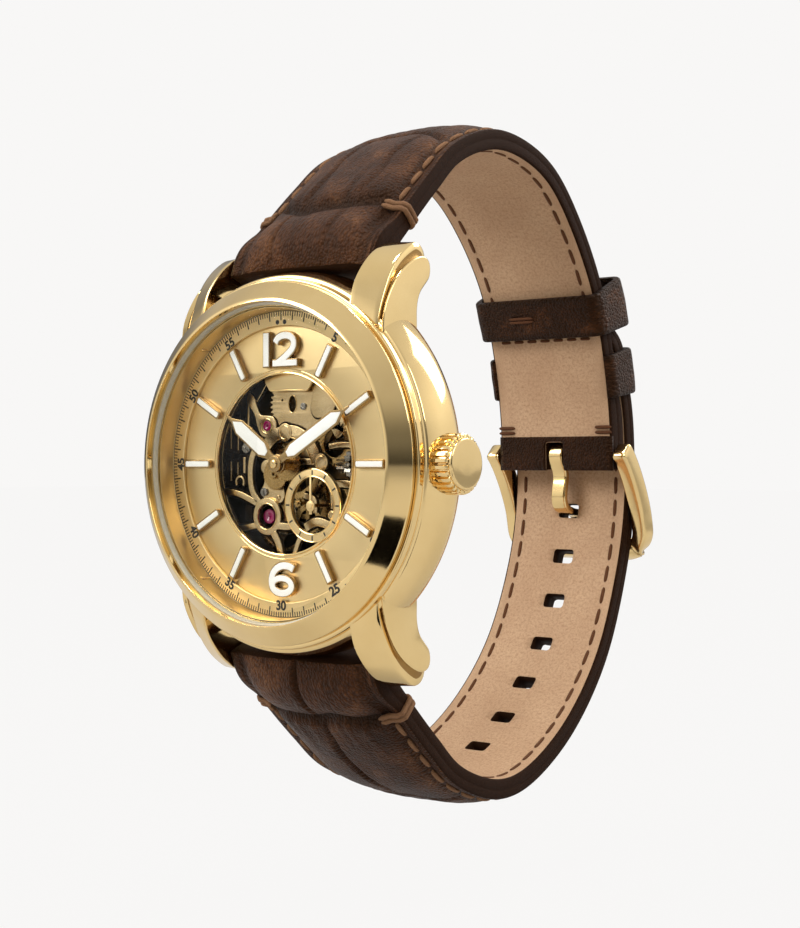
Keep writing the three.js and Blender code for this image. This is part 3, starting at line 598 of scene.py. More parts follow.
# ---------------------------------------------------------------- case
def case():
    band = fillet([
        (17.75, 1.65), (20.9, 1.65), (20.95, 0.78), (21.35, 0.72), (22.02, -1.6), (22.05, -3.9),
        (21.3, -5.2), (17.3, -5.2), (17.3, -4.35), (16.6, -4.35), (16.6, -0.45), (17.75, -0.45),
    ], [0.05, 0.2, 0.12, 0.35, 1.6, 1.2, 0.3, 0.1, 0.1, 0.1, 0.1, 0.1])
    barrel = turned("case_barrel", band, [GOLD_POLISHED], CASE_SEGMENTS)
    return [barrel] + [lug(x, y) for x in (1, -1) for y in (1, -1)]


def case_back():
    """The screwed back: a rounded, stepped ring round the rear window."""
    profile = fillet([
        (16.5, -8.38), (18.8, -7.5), (19.6, -6.2), (19.6, -5.25), (17.2, -5.25), (17.2, -4.4),
        (16.75, -4.4), (16.75, -5.3), (14.0, -7.25), (14.6, -7.25), (14.6, -8.4),
    ], [0.3, 0.6, 0.4, 0.15, 0.05, 0.1, 0.1, 0.1, 0.0, 0.0, 0.12])
    return turned("case_back_loop", profile, [GOLD_POLISHED], CASE_SEGMENTS)


# Side views (y, z) of a lug: the front tier's edge by the strap, its outer edge, and the side face
LUG_STRAP_EDGE = [
    (13.2, 1.75), (17.3, 1.75), (19.9, 1.0), (21.7, -0.3), (23.2, -1.8), (24.4, -3.7), (24.9, -5.6),
    (24.6, -7.3), (23.3, -7.6), (21.9, -7.2), (19.8, -5.3), (17.4, -4.9), (13.2, -4.9),
]
LUG_STEP_EDGE = [
    (13.2, 1.25), (16.2, 0.75), (18.6, -0.2), (21.2, -1.5), (22.9, -3.0), (24.0, -4.5), (24.7, -5.7),
    (24.3, -6.9), (23.2, -7.5), (21.6, -7.3), (19.4, -5.4), (17.4, -4.95), (13.2, -4.95),
]
LUG_SIDE_FACE = [
    (13.2, 1.05), (16.4, 0.85), (18.7, -0.3), (20.4, -1.5), (21.7, -2.95), (22.7, -4.7),
    (23.15, -6.1), (22.7, -7.15), (21.9, -7.45), (20.7, -7.3), (18.9, -5.45), (17.4, -5.0),
    (13.2, -5.0),
]
LUG_CORNERS = [0, 1.5, 1.5, 1.5, 1.5, 1.5, 0.9, 0.7, 0.7, 0.9, 1.2, 1.0, 0]
LUG_STEP = 3.4
# Faces drawn in deeper than this take the darker gold: painted shade in the hollow.
HOLLOW_SHADE_DEPTH = 0.25


def mixed_outline(a, b, share):
    return [(p[0] + (q[0] - p[0]) * share, p[1] + (q[1] - p[1]) * share) for p, q in zip(a, b)]


def inset(outline, amount):
    """A clockwise outline moved inwards along its corner normals."""
    out = []
    count = len(outline)
    for i, p in enumerate(outline):
        d = (Vector(outline[(i + 1) % count]) - Vector(outline[i - 1])).normalized()
        out.append((p[0] + d.y * amount, p[1] - d.x * amount))
    return out


def lug_sections():
    """Outlines from the strap side outwards, each as (x, outline, how far it is drawn in)."""
    strap = LUG_GAP / 2
    step = strap + LUG_STEP
    front = [(0.0, 0.0, 0.30), (0.03, 0.0, 0.14), (0.12, 0.0, 0.03)]
    front += [(0.3 + 0.32 * k, (0.3 + 0.32 * k) / 3.45, -0.05) for k in range(10)]
    hollow = [(0.0, 0.0, 0.0), (0.05, 0.0, 0.06), (0.09, 0.3, 0.3), (0.15, 0.62, 0.42),
              (0.26, 0.85, 0.42), (0.42, 0.97, 0.3), (0.60, 1.0, 0.14), (0.72, 1.0, 0.02)]
    side = [(0.78, 0.0), (0.84, 0.03), (0.88, 0.1), (0.9, 0.22)]
    sections = [(strap + x, mixed_outline(LUG_STRAP_EDGE, LUG_STEP_EDGE, t), e) for x, t, e in front]
    sections += [(step + x, mixed_outline(LUG_STEP_EDGE, LUG_SIDE_FACE, t), e) for x, t, e in hollow]
    return sections + [(step + x, LUG_SIDE_FACE, e) for x, e in side]


def lug(x_sign, y_sign):
    """A stepped lug: a sloping front tier, a hollow, and a lower flat side face; the hollow's deepest
    faces get a darker gold, painted shade.
    """
    points = []
    sections = lug_sections()
    for x, outline, drawn_in in sections:
        loop = inset(fillet(outline, LUG_CORNERS, 3), drawn_in)
        points += [head(x_sign * x, y_sign * y, z) for y, z in loop]
    painted_shade_indices = []
    for near, far in zip(sections, sections[1:]):
        painted_shade_indices += [1 if min(near[2], far[2]) > HOLLOW_SHADE_DEPTH else 0] * len(loop)
    faces = tube_faces(len(sections), len(loop))
    return build("lug", points, faces, [GOLD_POLISHED, GOLD_HOLLOW_SHADE], painted_shade_indices + [0, 0], 40.0)


def bezel():
    profile = fillet([
        (17.75, 1.72), (20.45, 1.72), (20.5, 2.25), (20.2, 2.5), (18.55, 3.92), (18.15, 4.02),
        (18.15, 2.5), (17.75, 2.5),
    ], [0.05, 0.12, 0.12, 0.25, 0.3, 0.1, 0.05, 0.05])
    return turned("bezel_ring", profile, [GOLD_POLISHED], CASE_SEGMENTS)


def crystal():
    dome = [(17.5 * i / 10, 5.0 - 0.85 * (i / 10) ** 2) for i in range(11)]
    under = [(16.6 * i / 8, 3.8 - 0.85 * (i / 8) ** 2) for i in range(8, -1, -1)]
    profile = dome + [(17.8, 3.95), (17.85, 3.7), (17.85, 2.56), (17.0, 2.56)] + under
    return turned("crystal_dome", profile, [GLASS], 160)


def gasket():
    profile = [(17.88, 2.54), (18.13, 2.54), (18.13, 3.1), (17.88, 3.1)]
    return turned("crystal_gasket_ring", profile, [PALE_SEAL], CASE_SEGMENTS)


# ---------------------------------------------------------------- dial
def dial():
    outlines = [ring(0, 0, DIAL_R, 200), ring(0, 0, OPENING_R, 180)]
    face = plate("dial_face", outlines, -DIAL_THICKNESS, 0, DIAL_GOLD, 0.05)
    rim = bead("dial_opening_rim", ring(0, 0, OPENING_R + 0.05, 180), 0.15, 0.02, GOLD_POLISHED)
    step = bead("dial_opening_step", ring(0, 0, OPENING_R + 0.5, 180), 0.05, 0.0, GOLD_POLISHED)
    fx, fy = SMALL_SECONDS
    small = plate("small_seconds_ring", [ring(fx, fy, 4.15, 96), ring(fx, fy, 3.2, 96)],
                  -0.35, 0.14, TRACK_GOLD, 0.06)
    inner = bead("small_seconds_rim", ring(fx, fy, 3.25, 96), 0.1, 0.1, GOLD_POLISHED)
    outer = bead("small_seconds_edge", ring(fx, fy, 4.08, 96), 0.09, 0.1, GOLD_POLISHED)
    return joined("dial_plate", [face, rim, step, small, inner, outer])


def bead(name, path, r, z, material):
    """A round bead along a closed line in the dial's plane."""
    sides = 8
    count = len(path)
    points = []
    for i, p in enumerate(path):
        along = Vector(path[(i + 1) % count]) - Vector(path[i - 1])
        normal = Vector((-along.y, along.x)).normalized()
        for t in circle_angles(sides):
            q = Vector(p) + normal * (r * math.cos(t))
            points.append(head(q.x, q.y, z + r * math.sin(t)))
    return build(name, points, tube_faces(count, sides, True), [material])


def chapter_ring():
    profile = fillet([
        (15.7, 0.02), (17.68, 0.02), (17.68, 2.44), (17.58, 2.44), (17.43, 0.4), (17.38, 0.35),
        (15.78, 0.35), (15.7, 0.3),
    ], 0.03, 2)
    return turned("chapter_ring_body", profile, [TRACK_GOLD], 200)


def tick(angle, r0, r1, width, z, thickness=0.02, centre=(0, 0)):
    """A thin printed bar on a radius, as points and faces; angle is clockwise from the top."""
    a = math.radians(90 - angle)
    out = Vector((math.cos(a), math.sin(a)))
    side = Vector((-out.y, out.x)) * (width / 2)
    corners = [out * r0 + side, out * r1 + side, out * r1 - side, out * r0 - side]
    places = [Vector(centre) + c for c in corners]
    points = [head(p.x, p.y, z + lift) for lift in (0, thickness) for p in places]
    return points, tube_faces(2, 4)


def printed(name, bars):
    return build(name, *merged(bars), [INK])


def minute_track():
    bars = []
    for step in range(300):
        five_seconds = step % 5 == 0
        five_minutes = step % 25 == 0 and step
        inner = 16.30 if five_seconds and not five_minutes else 16.80
        bars.append(tick(step * 1.2, inner, 17.37, 0.15 if five_seconds else 0.12, 0.35))
    pieces = [printed("minute_ticks", bars)]
    pieces.append(plate("minute_line", [ring(0, 0, 17.39, 200), ring(0, 0, 17.32, 200)],
                        0.35, 0.37, INK, 0.0))
    pieces += [track_number(minutes) for minutes in range(5, 60, 5)]
    for x in (-0.55, 0.55):
        pieces.append(plate("minute_dot", [ring(x, 16.1, 0.27, 20)], 0.35, 0.37, INK, 0.0))
    return joined("minute_track_print", pieces)


def track_number(minutes):
    """A number in Blender's own plain typeface; the lower ones stand with their tops inwards."""
    angle = minutes * 6
    a = math.radians(90 - angle)
    r = 16.1
    turn = angle + 180 if 90 < angle < 270 else angle
    curve = bpy.data.curves.new("minute_number", "FONT")
    curve.body = str(minutes)
    curve.size = 1.5
    curve.align_x = "CENTER"
    curve.align_y = "CENTER"
    curve.offset = 0.05
    curve.resolution_u = 8
    return plate_from_curve("minute_number", curve, 0.36, 0.38, 0.0, INK,
                            (r * math.cos(a), r * math.sin(a)), turn)


def small_seconds_print():
    bars = [tick(30 * k, 3.42, 3.95, 0.18, 0.13, 0.03, SMALL_SECONDS) for k in range(12)]
    return printed("small_seconds_print", bars)


MARKER_TOP = 0.64


def bar_outline(r0, r1, width):
    h = width / 2
    return fillet([(-h, r0), (h, r0), (h, r1), (-h, r1)], [h * 0.7, h * 0.7, 0.08, 0.08], 4)


def marker(hour):
    """An applied bar: a tray in the darker gold, which paints shade on its sides, with a white fill
    standing just proud of it.
    """
    tray = plate("tray", [bar_outline(11.1, 15.2, 1.0)], 0.03, MARKER_TOP, GOLD_EDGE_SHADE, 0.08)
    fill = plate("fill", [bar_outline(11.3, 15.05, 0.62)], 0.5, MARKER_TOP + 0.05, LUME, 0.04)
    obj = joined(f"hour_bar_{hour:02d}", [tray, fill])
    obj.data.transform(Matrix.Rotation(math.radians(30 * hour), 4, "Y"))
    return obj


def stroke_outline(path, width):
    """The outline of a stroke of one width along an open line."""
    left = []
    right = []
    for i, p in enumerate(path):
        along = Vector(path[min(i + 1, len(path) - 1)]) - Vector(path[max(i - 1, 0)])
        n = Vector((-along.y, along.x)).normalized() * (width / 2)
        left.append((p[0] + n.x, p[1] + n.y))
        right.append((p[0] - n.x, p[1] - n.y))
    return left + right[::-1]


def blend(p, t):
    """Centripetal Catmull-Rom between the two middle ones of four points."""
    d0, d1, d2 = (max((b - a).length, 1e-6) ** 0.5 for a, b in zip(p, p[1:]))
    t1 = ((p[1] - p[0]) / d0 - (p[2] - p[0]) / (d0 + d1) + (p[2] - p[1]) / d1) * d1
    t2 = ((p[2] - p[1]) / d1 - (p[3] - p[1]) / (d1 + d2) + (p[3] - p[2]) / d2) * d1
    a = p[1] * (2 * t ** 3 - 3 * t ** 2 + 1) + p[2] * (3 * t ** 2 - 2 * t ** 3)
    return a + t1 * (t ** 3 - 2 * t ** 2 + t) + t2 * (t ** 3 - t ** 2)


def smooth(points, samples=8):
    """A smooth open line through a few places."""
    p = [Vector(q) for q in points]
    p = [2 * p[0] - p[1]] + p + [2 * p[-1] - p[-2]]
    line = [blend(p[i - 1:i + 3], k / samples) for i in range(1, len(p) - 2) for k in range(samples)]
    return line + [p[-2]]


TWO_BOW = [
    (-0.62, 13.75), (-0.25, 14.25), (0.35, 14.5), (0.95, 14.55), (1.6, 14.42), (2.1, 14.0),
    (2.18, 13.5), (1.95, 13.0), (1.4, 12.5), (0.6, 11.95), (-0.3, 11.45),
]
SIX_STEM = [
    (-1.15, -13.8), (-1.2, -13.1), (-0.95, -12.4), (-0.4, -11.85), (0.3, -11.55), (1.0, -11.5),
    (1.6, -11.6), (2.1, -11.85),
]


def ellipse(cx, cy, rx, ry, steps=56):
    return [(cx + rx * math.cos(a), cy + ry * math.sin(a)) for a in circle_angles(steps)]


def rounded_box(x0, x1, y0, y1, corner, steps):
    return fillet([(x0, y0), (x1, y0), (x1, y1), (x0, y1)], corner, steps)


NUMERAL_LAYERS = (  # low, high, drawn in, material, bevel: the gold body, then the white fill
    (0.03, MARKER_TOP, 0.0, GOLD_EDGE_SHADE, 0.08),
    (0.5, MARKER_TOP + 0.06, 0.14, LUME, 0.04),
)


def numerals():
    twelve = []
    six = []
    for low, high, inner, material, bevel in NUMERAL_LAYERS:
        one = rounded_box(-2.6 + inner, -1.5 - inner, 10.95 + inner, 15.05 - inner, 0.05, 2)
        bow = stroke_outline(smooth(TWO_BOW), 1.02 - 2 * inner)
        foot = rounded_box(-1.15 + inner, 2.8 - inner, 10.95 + inner, 11.9 - inner, 0.05, 2)
        bowl = ellipse(0.38, -13.8, 2.0 - inner, 1.33 - inner)
        eye = ellipse(0.38, -13.75, 0.92 + inner, 0.36 + inner)
        stem = stroke_outline(smooth(SIX_STEM), 1.05 - 2 * inner)
        twelve.append(plate("one", [one], low, high, material, bevel))
        twelve.append(plate("two_bow", [bow], low, high, material, bevel))
        twelve.append(plate("two_foot", [foot], low, high - 0.001, material, bevel))
        six.append(plate("six_bowl", [bowl, eye], low, high, material, bevel))
        six.append(plate("six_stem", [stem], low, high - 0.001, material, bevel))
    return joined("numeral_12", twelve), joined("numeral_6", six)


# ---------------------------------------------------------------- hands
def hand(name, metal, fill, z, thickness, hub_r, angle, at=(0, 0), gold=GOLD_EDGE_SHADE):
    """A gold hand with a hub and, where a fill outline is given, a white fill."""
    top = z + thickness
    pieces = [plate("metal", [metal], z, top, gold, 0.05)]
    if fill:
        pieces.append(plate("fill", [fill], z + 0.05, top + 0.07, LUME, 0.04))
    hub = fillet([(0.0, z - 0.05), (hub_r, z - 0.05), (hub_r, top + 0.12), (0.0, top + 0.12)],
                 [0, 0.05, 0.1, 0])
    pieces.append(turned("hub", hub, [gold], 48))
    obj = joined(name, pieces)
    turn = Matrix.Rotation(math.radians(angle), 4, "Y")
    obj.data.transform(Matrix.Translation((at[0] * MM, 0, at[1] * MM)) @ turn)
    return obj


def mirrored(right_side):
    """A closed outline from its right side, given from the tip to the tail."""
    return [(-x, y) for x, y in reversed(right_side) if x] + right_side


def hour_hand():
    metal = mirrored([(0.12, 10.0), (0.22, 8.9), (0.98, 7.4), (1.02, 2.9), (0.5, 1.7), (0.45, -0.6)])
    fill = mirrored([(0, 8.55), (0.74, 7.35), (0.78, 3.0), (0.32, 2.1)])
    return hand("hour_hand_leaf", metal, fill, 0.75, 0.2, 1.1, HOUR_ANGLE)


def minute_hand():
    metal = mirrored([(0.1, 12.6), (0.16, 11.7), (0.9, 10.2), (0.92, 3.0), (0.45, 1.8), (0.42, -0.6)])
    fill = mirrored([(0, 11.4), (0.66, 10.15), (0.68, 3.1), (0.3, 2.2)])
    obj = hand("minute_hand_leaf", metal, fill, 1.25, 0.2, 0.95, MINUTE_ANGLE)
    pin = fillet([(0.0, 1.3), (0.48, 1.3), (0.48, 1.72), (0.3, 1.8), (0.0, 1.8)], 0.04, 2)
    return joined("minute_hand_leaf", [obj, turned("pin", pin, [GOLD_POLISHED], 40)])


def seconds_hand():
    metal = mirrored([(0.13, 3.3), (0.2, -1.0)])
    obj = hand("seconds_hand_leaf", metal, None, 0.38, 0.1, 0.42, 0, SMALL_SECONDS, TRACK_GOLD)
    x, y = SMALL_SECONDS
    weight = plate("weight", [ring(x, y - 0.05, 0.62, 32)], 0.36, 0.5, TRACK_GOLD, 0.04)
    return joined("seconds_hand_leaf", [obj, weight])


# ---------------------------------------------------------------- crown
# Along the crown: x, radius, and how deep the grooves are there
CROWN_STATIONS = [
    (21.45, 2.6, 0.0), (21.5, 2.95, 0.6), (21.62, 3.2, 1.0), (21.8, 3.3, 1.0), (23.45, 3.3, 1.0),
    (23.62, 3.24, 1.0), (23.72, 3.05, 0.9), (23.74, 2.86, 0.3), (23.74, 2.8, 0.0), (23.98, 2.79, 0.0),
    (24.08, 2.74, 0.0), (24.12, 2.64, 0.0), (24.13, 2.5, 0.0), (24.14, 1.2, 0.0), (24.15, 0.02, 0.0),
]


def crown():
    """A fluted crown: broad ribs with narrow grooves, and a plain raised disc on its end."""
    flutes = 28
    around = flutes * 12
    points = []
    for x, r, depth in CROWN_STATIONS:
        for a in circle_angles(around):
            q = r - 0.34 * depth * smoothstep(math.cos(flutes * a), 0.05, 0.75)
            points.append(head(x, q * math.cos(a), STEM_Z + q * math.sin(a)))
    faces = tube_faces(len(CROWN_STATIONS), around)
    return build("crown_knob", points, faces, [GOLD_POLISHED], sharp=42)


# ---------------------------------------------------------------- strap
class Path:
    """A smooth side-view line through (y, z) points, walked by its length in millimetres."""

    def __init__(self, points, side, samples=40):
        self.side = side
        self.points = smooth(points, samples)
        self.lengths = [0.0]
        for a, b in zip(self.points, self.points[1:]):
            self.lengths.append(self.lengths[-1] + (b - a).length)
        self.length = self.lengths[-1]

    def at(self, s):
        hi = min(max(bisect.bisect_right(self.lengths, s), 1), len(self.lengths) - 1)
        a, b = self.points[hi - 1], self.points[hi]
        return a + (b - a) * ((s - self.lengths[hi - 1]) / (self.lengths[hi] - self.lengths[hi - 1]))

    def directions(self, s):
        along = (self.at(s + 0.6) - self.at(s - 0.6)).normalized()
        return along, Vector((-along.y, along.x)) * self.side

    def spot(self, x, n, s):
        """The point x across, n away from the wrist and s along, in the row frame."""
        _, out = self.directions(s)
        return side_view_point(x, self.at(s) + out * n)

    def length_at_height(self, z, lo, hi):
        steps = [lo + (hi - lo) * i / 400 for i in range(401)]
        return min(steps, key=lambda s: abs(self.at(s).y - z))


def side_view_point(x, p):
    """The row-frame point at x of a place in the strap's side view (y, z)."""
    return Vector((x, DIAL_Y + p.x, p.y)) * MM


BUCKLE_PATH = Path([
    (5.7, 21.0), (7.0, 24.0), (9.8, 27.0), (15.2, 32.1), (19.7, 35.8), (27.3, 38.5), (33.8, 38.3),
    (40.1, 36.1), (45.6, 31.2), (51.0, 23.4), (54.0, 14.6), (55.6, 6.0), (55.9, -0.8),
], 1)
BUCKLE_LEN = BUCKLE_PATH.length


def strap_half_width(share):
    return (STRAP_WIDTH - (STRAP_WIDTH - STRAP_BACK_WIDTH) * smoothstep(share, 0.05, 0.7)) / 2


def cad_buckle_thickness(share):
    return 3.5 - 0.9 * smoothstep(share, 0.05, 0.3) + 0.8 * smoothstep(share, 0.86, 0.92)


def tail_point(share, gap):
    s = share * BUCKLE_LEN
    _, out = BUCKLE_PATH.directions(s)
    p = BUCKLE_PATH.at(s) + out * (cad_buckle_thickness(share) + gap)
    return (p.x, p.y)


LONG_PATH = Path([
    (5.7, -21.0), (7.0, -24.0), (9.8, -27.0), (15.2, -32.1), (19.7, -35.8), (27.7, -38.6),
    (33.8, -38.2), (43.6, -33.5), (52.1, -25.2), (57.4, -14.4), (59.4, -6.0),
] + [tail_point(share, LAYER_GAP) for share in (0.955, 0.9, 0.85, 0.8, 0.75)], -1)
LONG_LEN = LONG_PATH.length


class Half:
    """One half of the strap: its path, its thickness and how its leather is padded."""

    def __init__(self, name, path, creases, pad_end, seed, tip):
        self.name = name
        self.path = path
        self.creases = creases
        self.pad_end = pad_end
        self.seed = seed
        self.tip = tip

    def half_width(self, s):
        width = strap_half_width(s / self.path.length)
        if self.tip:
            left = max(self.path.length - s, 0.0)
            if left < 7.0:
                width *= math.sqrt(max(1 - ((7.0 - left) / 7.0) ** 2.6, 0.02))
        return width

    def edge(self, s):
        """Thickness at the strap's edges."""
        share = s / self.path.length
        rolled = 1.0 - 1.0 * smoothstep(s, 2.0, 6.5)
        if self.tip:
            return 2.5 + rolled - 0.1 * smoothstep(share, 0.6, 0.9)
        return 2.5 + rolled + 0.7 * smoothstep(share, 0.86, 0.92)

    def crown(self, s):
        """How far the padded middle stands above the edges."""
        share = s / self.path.length
        rise = smoothstep(s, -2.0, 5.0) * (1 - 0.4 * smoothstep(s, 10.0, 24.0))
        return 2.0 * rise * (1 - 0.93 * smoothstep(share, self.pad_end - 0.22, self.pad_end))

    def crease(self, x, s):
        """Depth from 0 to 1 of the embossed lines at a place on the leather."""
        wobble = noise.noise(Vector((x * 0.22, s * 0.2, self.seed)))
        depth = 0.0
        for kind, place, width, strength in self.creases:
            if kind == "across":
                d = s - place - 1.1 * wobble - 0.028 * x * x * math.sin(place)
            else:
                d = x - place - 1.0 * wobble - 0.03 * (s - 20) * math.sin(place * 3)
            depth = max(depth, strength * math.exp(-(d / width) ** 2))
        return depth

    def comb(self, s):
        """How strong the fine lengthwise wrinkles are, fading away beyond each cross crease."""
        strength = 0.0
        for kind, place, _, depth in self.creases:
            if kind == "across" and s > place:
                strength = max(strength, depth * math.exp(-((s - place) / 7.0) ** 2))
        return strength

    def surface(self, x, s):
        """Height of the outer face, and how much its colour is darkened: painted shade in the creases,
        in the comb wrinkles' valleys, at the padding's foot and in the stitch groove, and darker
        towards the edge.
        """
        w = self.half_width(s)
        seam = w - 2.1
        base = self.edge(s)
        if abs(x) >= seam:
            groove = math.exp(-((abs(x) - (w - 1.45)) / 0.45) ** 2)
            # Painted shade in the stitch groove, and darker towards the edge.
            return base - 0.2 * groove, 0.85 * groove + 0.3 * smoothstep(abs(x), w - 0.7, w)
        inward = (seam - abs(x)) / seam
        shoulder = (1 - (1 - inward) ** 3.2) ** 0.62
        pad = self.crown(s) * shoulder
        line = self.crease(x, s) * smoothstep(inward, 0.0, 0.12)
        soft = 0.12 * noise.noise(Vector((x * 0.16, s * 0.16, self.seed + 9)))
        soft += 0.03 * noise.noise(Vector((x * 1.6, s * 0.5, self.seed + 4)))
        comb = self.comb(s) * noise.noise(Vector((x * 1.25, s * 0.13, self.seed + 2)))
        soft += 0.22 * comb
        depth = min(0.62 * self.crown(s) + 0.18, 1.05) * line
        # Painted shade at the padding's foot, in the creases and in the comb wrinkles' valleys.
        foot = 0.7 * (1 - smoothstep(inward, 0.0, 0.07))
        dark = line + foot + max(-1.5 * comb, 0.0) * 0.8
        return base + pad + soft * shoulder - depth, min(dark, 1.0)


def leather_body(half, station=0.42):
    """The closed body of a strap half: lining, cut edges and the padded outer face."""
    count = int(half.path.length / station)
    points, uvs, creases = [], [], []
    for i in range(count + 1):
        s = half.path.length * i / count
        w = half.half_width(s)
        edge = half.edge(s)
        # Each place is x, n, how much the outer leather's colour is darkened, and its material: none on
        # the lining, half by the cut edges, and the outer face's painted shade.
        loop = [((w - 0.3) * (2 * k / 12 - 1), 0.0, 0.0, 0) for k in range(13)]
        side = [(w - 0.1, 0.06), (w, 0.28), (w + 0.02, edge * 0.47), (w - 0.05, edge * 0.52),
                (w + 0.02, edge * 0.57), (w, edge - 0.32), (w - 0.1, edge - 0.09)]
        loop += [(x, n, 0.5, 1) for x, n in side]
        for k in range(65):
            x = (w - 0.3) * (1 - 2 * k / 64)
            loop.append((x, *half.surface(x, s), 2))
        loop += [(-x, n, 0.5, 1) for x, n in reversed(side)]
        for x, n, depth, _ in loop:
            points.append(half.path.spot(x, n, s))
            uvs.append((x, s) if abs(x) < w - 0.35 else (n, s))
            creases.append(depth)
    kinds = [entry[3] for entry in loop]
    mats = [max(a, b) for a, b in zip(kinds, kinds[1:] + kinds[:1])] * count + [1, 1]
    faces = tube_faces(count + 1, len(loop))
    return leather_mesh(half.name, points, faces, uvs, creases, [LINING, EDGE, LEATHER], mats)


def leather_mesh(name, points, faces, uvs, creases, materials, mats=None):
    """A smooth mesh with its own uv map and, at each point, how much the leather's colour is darkened
    there (the 'crease' attribute).
    """
    mesh = bpy.data.meshes.new(name)
    mesh.from_pydata([tuple(p) for p in points], [], faces)
    obj = link(name, mesh, materials)
    if mats:
        mesh.polygons.foreach_set("material_index", mats)
    layer = mesh.uv_layers.new(name="leather")
    for loop in mesh.loops:
        layer.data[loop.index].uv = uvs[loop.vertex_index]
    attribute = mesh.attributes.new("crease", "FLOAT", "POINT")
    attribute.data.foreach_set("value", creases)
    bm = bmesh.new()
    bm.from_mesh(mesh)
    bmesh.ops.recalc_face_normals(bm, faces=bm.faces)
    for face in bm.faces:
        face.smooth = True
    bm.to_mesh(mesh)
    bm.free()
    return obj


ROUND = circle_angles(8)


def thread_tube(path, rings):
    """A tube of thread from rings of (x, n, s) places, each with its place on the twist."""
    points = [path.spot(*spot) for loop, _ in rings for spot in loop]
    uvs = [(k * 0.25, twist) for _, twist in rings for k in range(len(ROUND))]
    return points, tube_faces(len(rings), len(ROUND)), uvs


def stitch(path, x, n, s0, s1, r, drift=0.0):
    """One stitch: a plump bead of thread with its ends tucked into the leather."""
    rings = []
    for t in (i / 9 for i in range(10)):
        swell = math.sqrt(max(1 - abs(2 * t - 1) ** 3.5, 0.0))
        fat = r * (0.25 + 0.75 * swell)
        s = s0 + (s1 - s0) * t
        cx = x + drift * (t - 0.5)
        cn = n + 0.55 * r * swell - 0.25 * r
        loop = [(cx + fat * math.cos(a), cn + 0.8 * fat * math.sin(a), s) for a in ROUND]
        rings.append((loop, s * 1.4))
    return thread_tube(path, rings)


def bar_stitch(path, x0, x1, n, s, r):
    """A straight stitch across the strap, at the height n."""
    rings = []
    for t in (i / 14 for i in range(15)):
        x = x0 + (x1 - x0) * t
        fat = r * math.sqrt(max(1 - abs(2 * t - 1) ** 6, 0.02))
        loop = [(x, n + fat * math.sin(a), s + fat * math.cos(a)) for a in ROUND]
        rings.append((loop, x * 1.4))
    return thread_tube(path, rings)


def thread_object(name, stitches, material):
    points, faces = merged([entry[:2] for entry in stitches])
    uvs = [uv for entry in stitches for uv in entry[2]]
    return leather_mesh(name, points, faces, uvs, [0.0] * len(points), [material])


def seam(half, s0, s1, outside):
    """A row of stitches along both edges of a half, on its outer face or on its lining."""
    pitch = 3.1
    inwards, length, r, drift = (1.45, 2.35, 0.36, 0.12) if outside else (1.7, 2.3, 0.34, 0.0)
    rows = []
    for side in (1, -1):
        s = s0
        while s + length < s1:
            x = side * (half.half_width(s + length / 2) - inwards)
            n = half.edge(s) - 0.06 if outside else 0.02
            rows.append(stitch(half.path, x, n, s, s + length, r, drift))
            s += pitch
    return rows


def edge_staples(half, s):
    """Two turns of thread over each edge, where the padding begins."""
    loops = []
    for side in (1, -1):
        for shift in (-0.38, 0.38):
            w = half.half_width(s)
            e = half.edge(s)
            rim = [(w - 2.6, e + 0.9), (w - 1.4, e + 0.25), (w - 0.3, e + 0.15), (w + 0.18, e - 0.25),
                   (w + 0.2, e * 0.5), (w + 0.15, 0.2), (w - 0.3, -0.1), (w - 1.2, -0.05)]
            loops.append(thread_line(half.path, [(side * x, n, s + shift) for x, n in rim], 0.33))
    return loops


def thread_line(path, route, r):
    """Thread laid along a list of (x, n, s) places."""
    spots = [Vector(p) for p in route]
    fine = [a.lerp(b, k / 3) for a, b in zip(spots, spots[1:]) for k in range(3)] + spots[-1:]
    u = Vector((0, 0, 1))
    rings = []
    for i, p in enumerate(fine):
        d = (fine[min(i + 1, len(fine) - 1)] - fine[max(i - 1, 0)]).normalized()
        v = d.cross(u).normalized()
        size = r if 0 < i < len(fine) - 1 else 0.4 * r
        loop = [p + u * (size * math.cos(a)) + v * (size * math.sin(a)) for a in ROUND]
        rings.append((loop, i * 0.8))
    return thread_tube(path, rings)


def punch(path, half_width, s0, s1, corner):
    """A rounded rectangular punch through the strap."""
    outline = rounded_box(-half_width, half_width, s0, s1, corner, 4)
    points = [path.spot(x, n, s) for n in (-3, 8) for x, s in outline]
    return build("punch", points, tube_faces(2, len(outline)), [EDGE])


